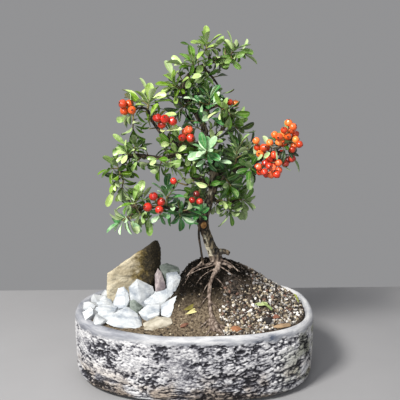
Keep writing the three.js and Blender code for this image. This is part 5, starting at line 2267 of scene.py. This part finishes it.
@dataclass
class FallenLeaf:
    """A leaf, or a pair, that lies on the soil."""

    name: str
    nodes: tuple[str, ...]
    leaves: tuple
    finish: LeafSkin
    lift: float = 1.2

    def build(self, soil: Soil, shape: LeafShape) -> Thing:
        """Lays the leaf or the pair down, square to the soil.

        Args:
            soil: What it lies on.
            shape: The leaf's shape.

        Returns:
            The fallen leaf.
        """
        pile = Pile()
        draw = Draws(sum(map(ord, self.name)))
        for (x, y), heading, length, width, rise, shade in self.leaves:
            step = 6
            slope_x = float(soil.height(x + step, y) - soil.height(x - step, y)) / (2 * step)
            slope_y = float(soil.height(x, y + step) - soil.height(x, y - step)) / (2 * step)
            face = unit([-slope_x, -slope_y, 1.0])
            turn = math.radians(heading)
            direction = np.array([math.cos(turn), math.sin(turn), math.tan(math.radians(rise))])
            direction = unit(direction - face * np.dot(direction, face) * (rise == 0))
            face = upright(face, direction)
            middle = np.array([x, y, soil.height(x, y)]) + face * self.lift
            middle += UP * 0.5 * length * abs(math.sin(math.radians(rise)))
            blade = Blade(self.name, middle - direction * length / 2, direction, face, length,
                          width * length, 0.05)
            pile.add(shape.laid(blade, draw), shape.template, 0, shade)
        made = pile.build(self.name)
        made.data.materials.append(self.finish.build())
        made.data.materials.append(made.data.materials[0])
        crease(made, 60)
        if self.nodes:
            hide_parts(*self.nodes)
        return made


# ---- studio


@dataclass
class Studio:
    """A pale shelf, soft light from the upper left and the camera. Its sizes are metres, and
    a light has a name, a place, a width, its watts and its colour."""

    camera: Point = (-0.01258, -0.82261, 0.44905)
    target: Point = (0.0081, 0.0, 0.236)
    lens: float = 60.0
    shelf: Point = (1.2, 0.285, 0.02)

    lit: Point = (0.0, 0.0, 0.2)
    lights: tuple = (("key", (-0.7, -0.85, 1.3), 0.36, 44.0, "#fffcf7"),
                     ("front", (-0.35, -1.3, 0.55), 0.4, 6.0, "#ffffff"),
                     ("fill", (0.9, -0.9, 0.7), 1.2, 2.2, "#f4f6ff"),
                     ("top", (0.0, 0.1, 1.5), 0.9, 3.0, "#ffffff"))

    def aimed(self, name: str, data: bpy.types.ID, place: Point, target: Point) -> Thing:
        """Adds a light or a camera.

        Args:
            name: Its name.
            data: The light or the camera.
            place: Where it stands, in metres.
            target: What it points at, in metres.

        Returns:
            Its object.
        """
        thing = added(name, data)
        thing.location = place
        aim = Vector(target) - Vector(place)
        thing.rotation_euler = aim.to_track_quat("-Z", "Y").to_euler()
        return thing

    def build(self) -> None:
        """Makes the shelf, the lights and the camera."""
        half_x, half_y, thick = self.shelf
        deselect()
        bpy.ops.mesh.primitive_cube_add(size=1, location=(0, 0, -thick / 2))
        floor = bpy.context.object
        floor.name = floor.data.name = "shelf"
        floor.scale = (2 * half_x, 2 * half_y, thick)
        bpy.ops.object.transform_apply(location=True, rotation=True, scale=True)
        put_on(floor, "BEVEL", width=0.002, segments=3)
        floor.data.materials.append(
            Plain("matt pale paint", "#8a8a8c", "#939395", 160.0, 0.75).build())
        floor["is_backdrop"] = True
        scene = bpy.context.scene
        scene.view_settings.view_transform = "Standard"
        world = scene.world or bpy.data.worlds.new("studio")
        scene.world = world
        world.use_nodes = True
        sky = world.node_tree.nodes["Background"]
        sky.inputs["Color"].default_value = colour("#d2d2d4")
        sky.inputs["Strength"].default_value = 0.45
        for name, place, size, watts, code in self.lights:
            lamp = bpy.data.lights.new(name, "AREA")
            lamp.size, lamp.energy, lamp.color = size, watts, colour(code)[:3]
            self.aimed(name, lamp, place, self.lit)
        view = bpy.data.cameras.new("camera")
        view.sensor_width, view.lens = 36.0, self.lens
        scene.camera = self.aimed("camera", view, self.camera, self.target)


# ---- assembly


def ride(pieces: Iterable[Thing]) -> None:
    """Rides pieces on the body one by one as they are made, and reports each.

    Args:
        pieces: The finished objects.
    """
    for piece in pieces:
        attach(piece, "root")
        LOG.info("%s: %d faces", piece.name, len(piece.data.polygons))


CHIPS = (
    Chip("bark_chip_front", (51, -73), (8, 6, 4), 10, "#5d3a28", "#a87450", 31),
    Chip("lava_chip_right", (103, -51), (7, 6, 3), -30, "#4d2d22", "#946450", 32),
    Chip("pumice_chip", (108, -65), (12, 6, 3.5), 16, "#6f5b45", "#b39877", 33),
    Chip("charcoal_lump", (90, -60), (7, 6, 5), 10, "#0b0a0a", "#2a2625", 34),
    Chip("bark_chip_left", (-12, -66), (7, 4, 2.5), 30, "#4a2f25", "#8d6350", 35),
)


FALLEN = (
    FallenLeaf("yellowed_leaf_left", ("fallen_leaf_1",),
               (((-4, -49), 24, 27, 0.17, 4, 0.15), ((-3, -53), 30, 24, 0.13, 9, 0.95)),
               LeafSkin("yellowed leaf", "#575020", "#8f8738", "#cfc78c", "#bdb678", 0.5, 0.1)),
    FallenLeaf("pale_leaf_right", ("fallen_leaf_2",),
               (((81, -43), 4, 24, 0.12, 6, 0.7), ((91, -44), -28, 18, 0.13, -30, 0.3)),
               LeafSkin("pale leaf", "#5f7236", "#84955a", "#b4bf8c", "#c6cda8", 0.5, 0.1)),
    FallenLeaf("curled_leaf_right", (), (((137, 4), 100, 20, 0.14, 22, 0.6),),
               LeafSkin("curled leaf", "#5d6722", "#8b953a", "#acb05a", "#c0c384", 0.5, 0.1)),
)


def heap() -> list[BrokenStone]:
    """Sorts the marble of the heap by colour.

    Returns:
        The 13 stones, most of them white.
    """
    white = Marble("broken white marble", "#b8bcbf", "#878f99")
    cream = Marble("broken cream marble", "#b1ab9c", "#807765")
    pink = Marble("broken pink marble", "#a39897", "#6f6569")
    grey = Marble("weathered grey marble", "#808982", "#464e49")
    odd = {2: cream, 10: pink, 12: grey, 13: grey}
    return [BrokenStone(f"white_stone_{i:02d}", odd.get(i, white), seed=70 + i)
            for i in range(1, 14)]


def foliage(shape: LeafShape) -> Iterator[Thing]:
    """Grows the sprays one by one.

    Args:
        shape: The leaf's shape.

    Yields:
        Each spray.
    """
    twig = Twig("green shoot", "#4a3b28", "#7b7440").build()
    finishes = {}
    for tone in Tone:
        title, _, old, ripe, young = tone.value
        upper = LeafSkin(f"waxy {title} leaf", old, ripe, young, "#b9cc84").build()
        under = LeafSkin(f"{title} leaf underside", ripe, "#8fa56f", "#b3c193", "#c9d3ac",
                         0.62, 0.0).build()
        finishes[tone] = [upper, under, twig]
    layout = Layout()
    placed = layout.fill()
    for name, shoot in SHOOTS.items():
        spurs = [(start, end) for owner, start, end in layout.spurs if owner == name]
        yield Spray(name, shoot, placed[name], spurs).build(shape, finishes)


def fruit() -> Iterator[Thing]:
    """Hangs the bunches of berries one by one.

    Yields:
        Each bunch.
    """
    shape = BerryShape()
    calyx = Plain("withered calyx", "#2a130c", "#5e3322", 2.0, 0.8).build()
    stalk = Twig("fruit stalk", "#5a3a26", "#7f7440").build()
    skins = {ripeness: ripeness.value.build() for ripeness in Ripeness}
    for name, bunch in BUNCHES.items():
        finishes = [skins[bunch.ripeness], calyx, stalk]
        yield BerryBunch(name, bunch).build(shape, finishes)


def main() -> None:
    """Builds every sub-assembly in order."""
    logging.basicConfig(level=logging.INFO, format="%(message)s", stream=sys.stdout)
    model_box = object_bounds()
    Studio().build()
    oval = Oval(157.0, 100.0)
    soil = Soil(oval)
    ride([Pot(oval).build()])
    ride([soil.build()])
    ride(Cover(soil).build())
    ride(chip.build(soil) for chip in CHIPS)
    ride(stone.build() for stone in heap())
    ride([Rubble(soil, Marble("broken marble rubble", "#bcbfc1", "#92979d")).build()])
    ride([StandingStone().build()])
    ride([Wood().build()])
    shape = LeafShape()
    ride(foliage(shape))
    ride(fruit())
    ride(fallen.build(soil, shape) for fallen in FALLEN)
    sizes = {"model": model_box, "visual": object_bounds()}
    {k: [list(map(float, c)) for c in v] for k, v in sizes.items()}


if __name__ == "__main__":
    main()
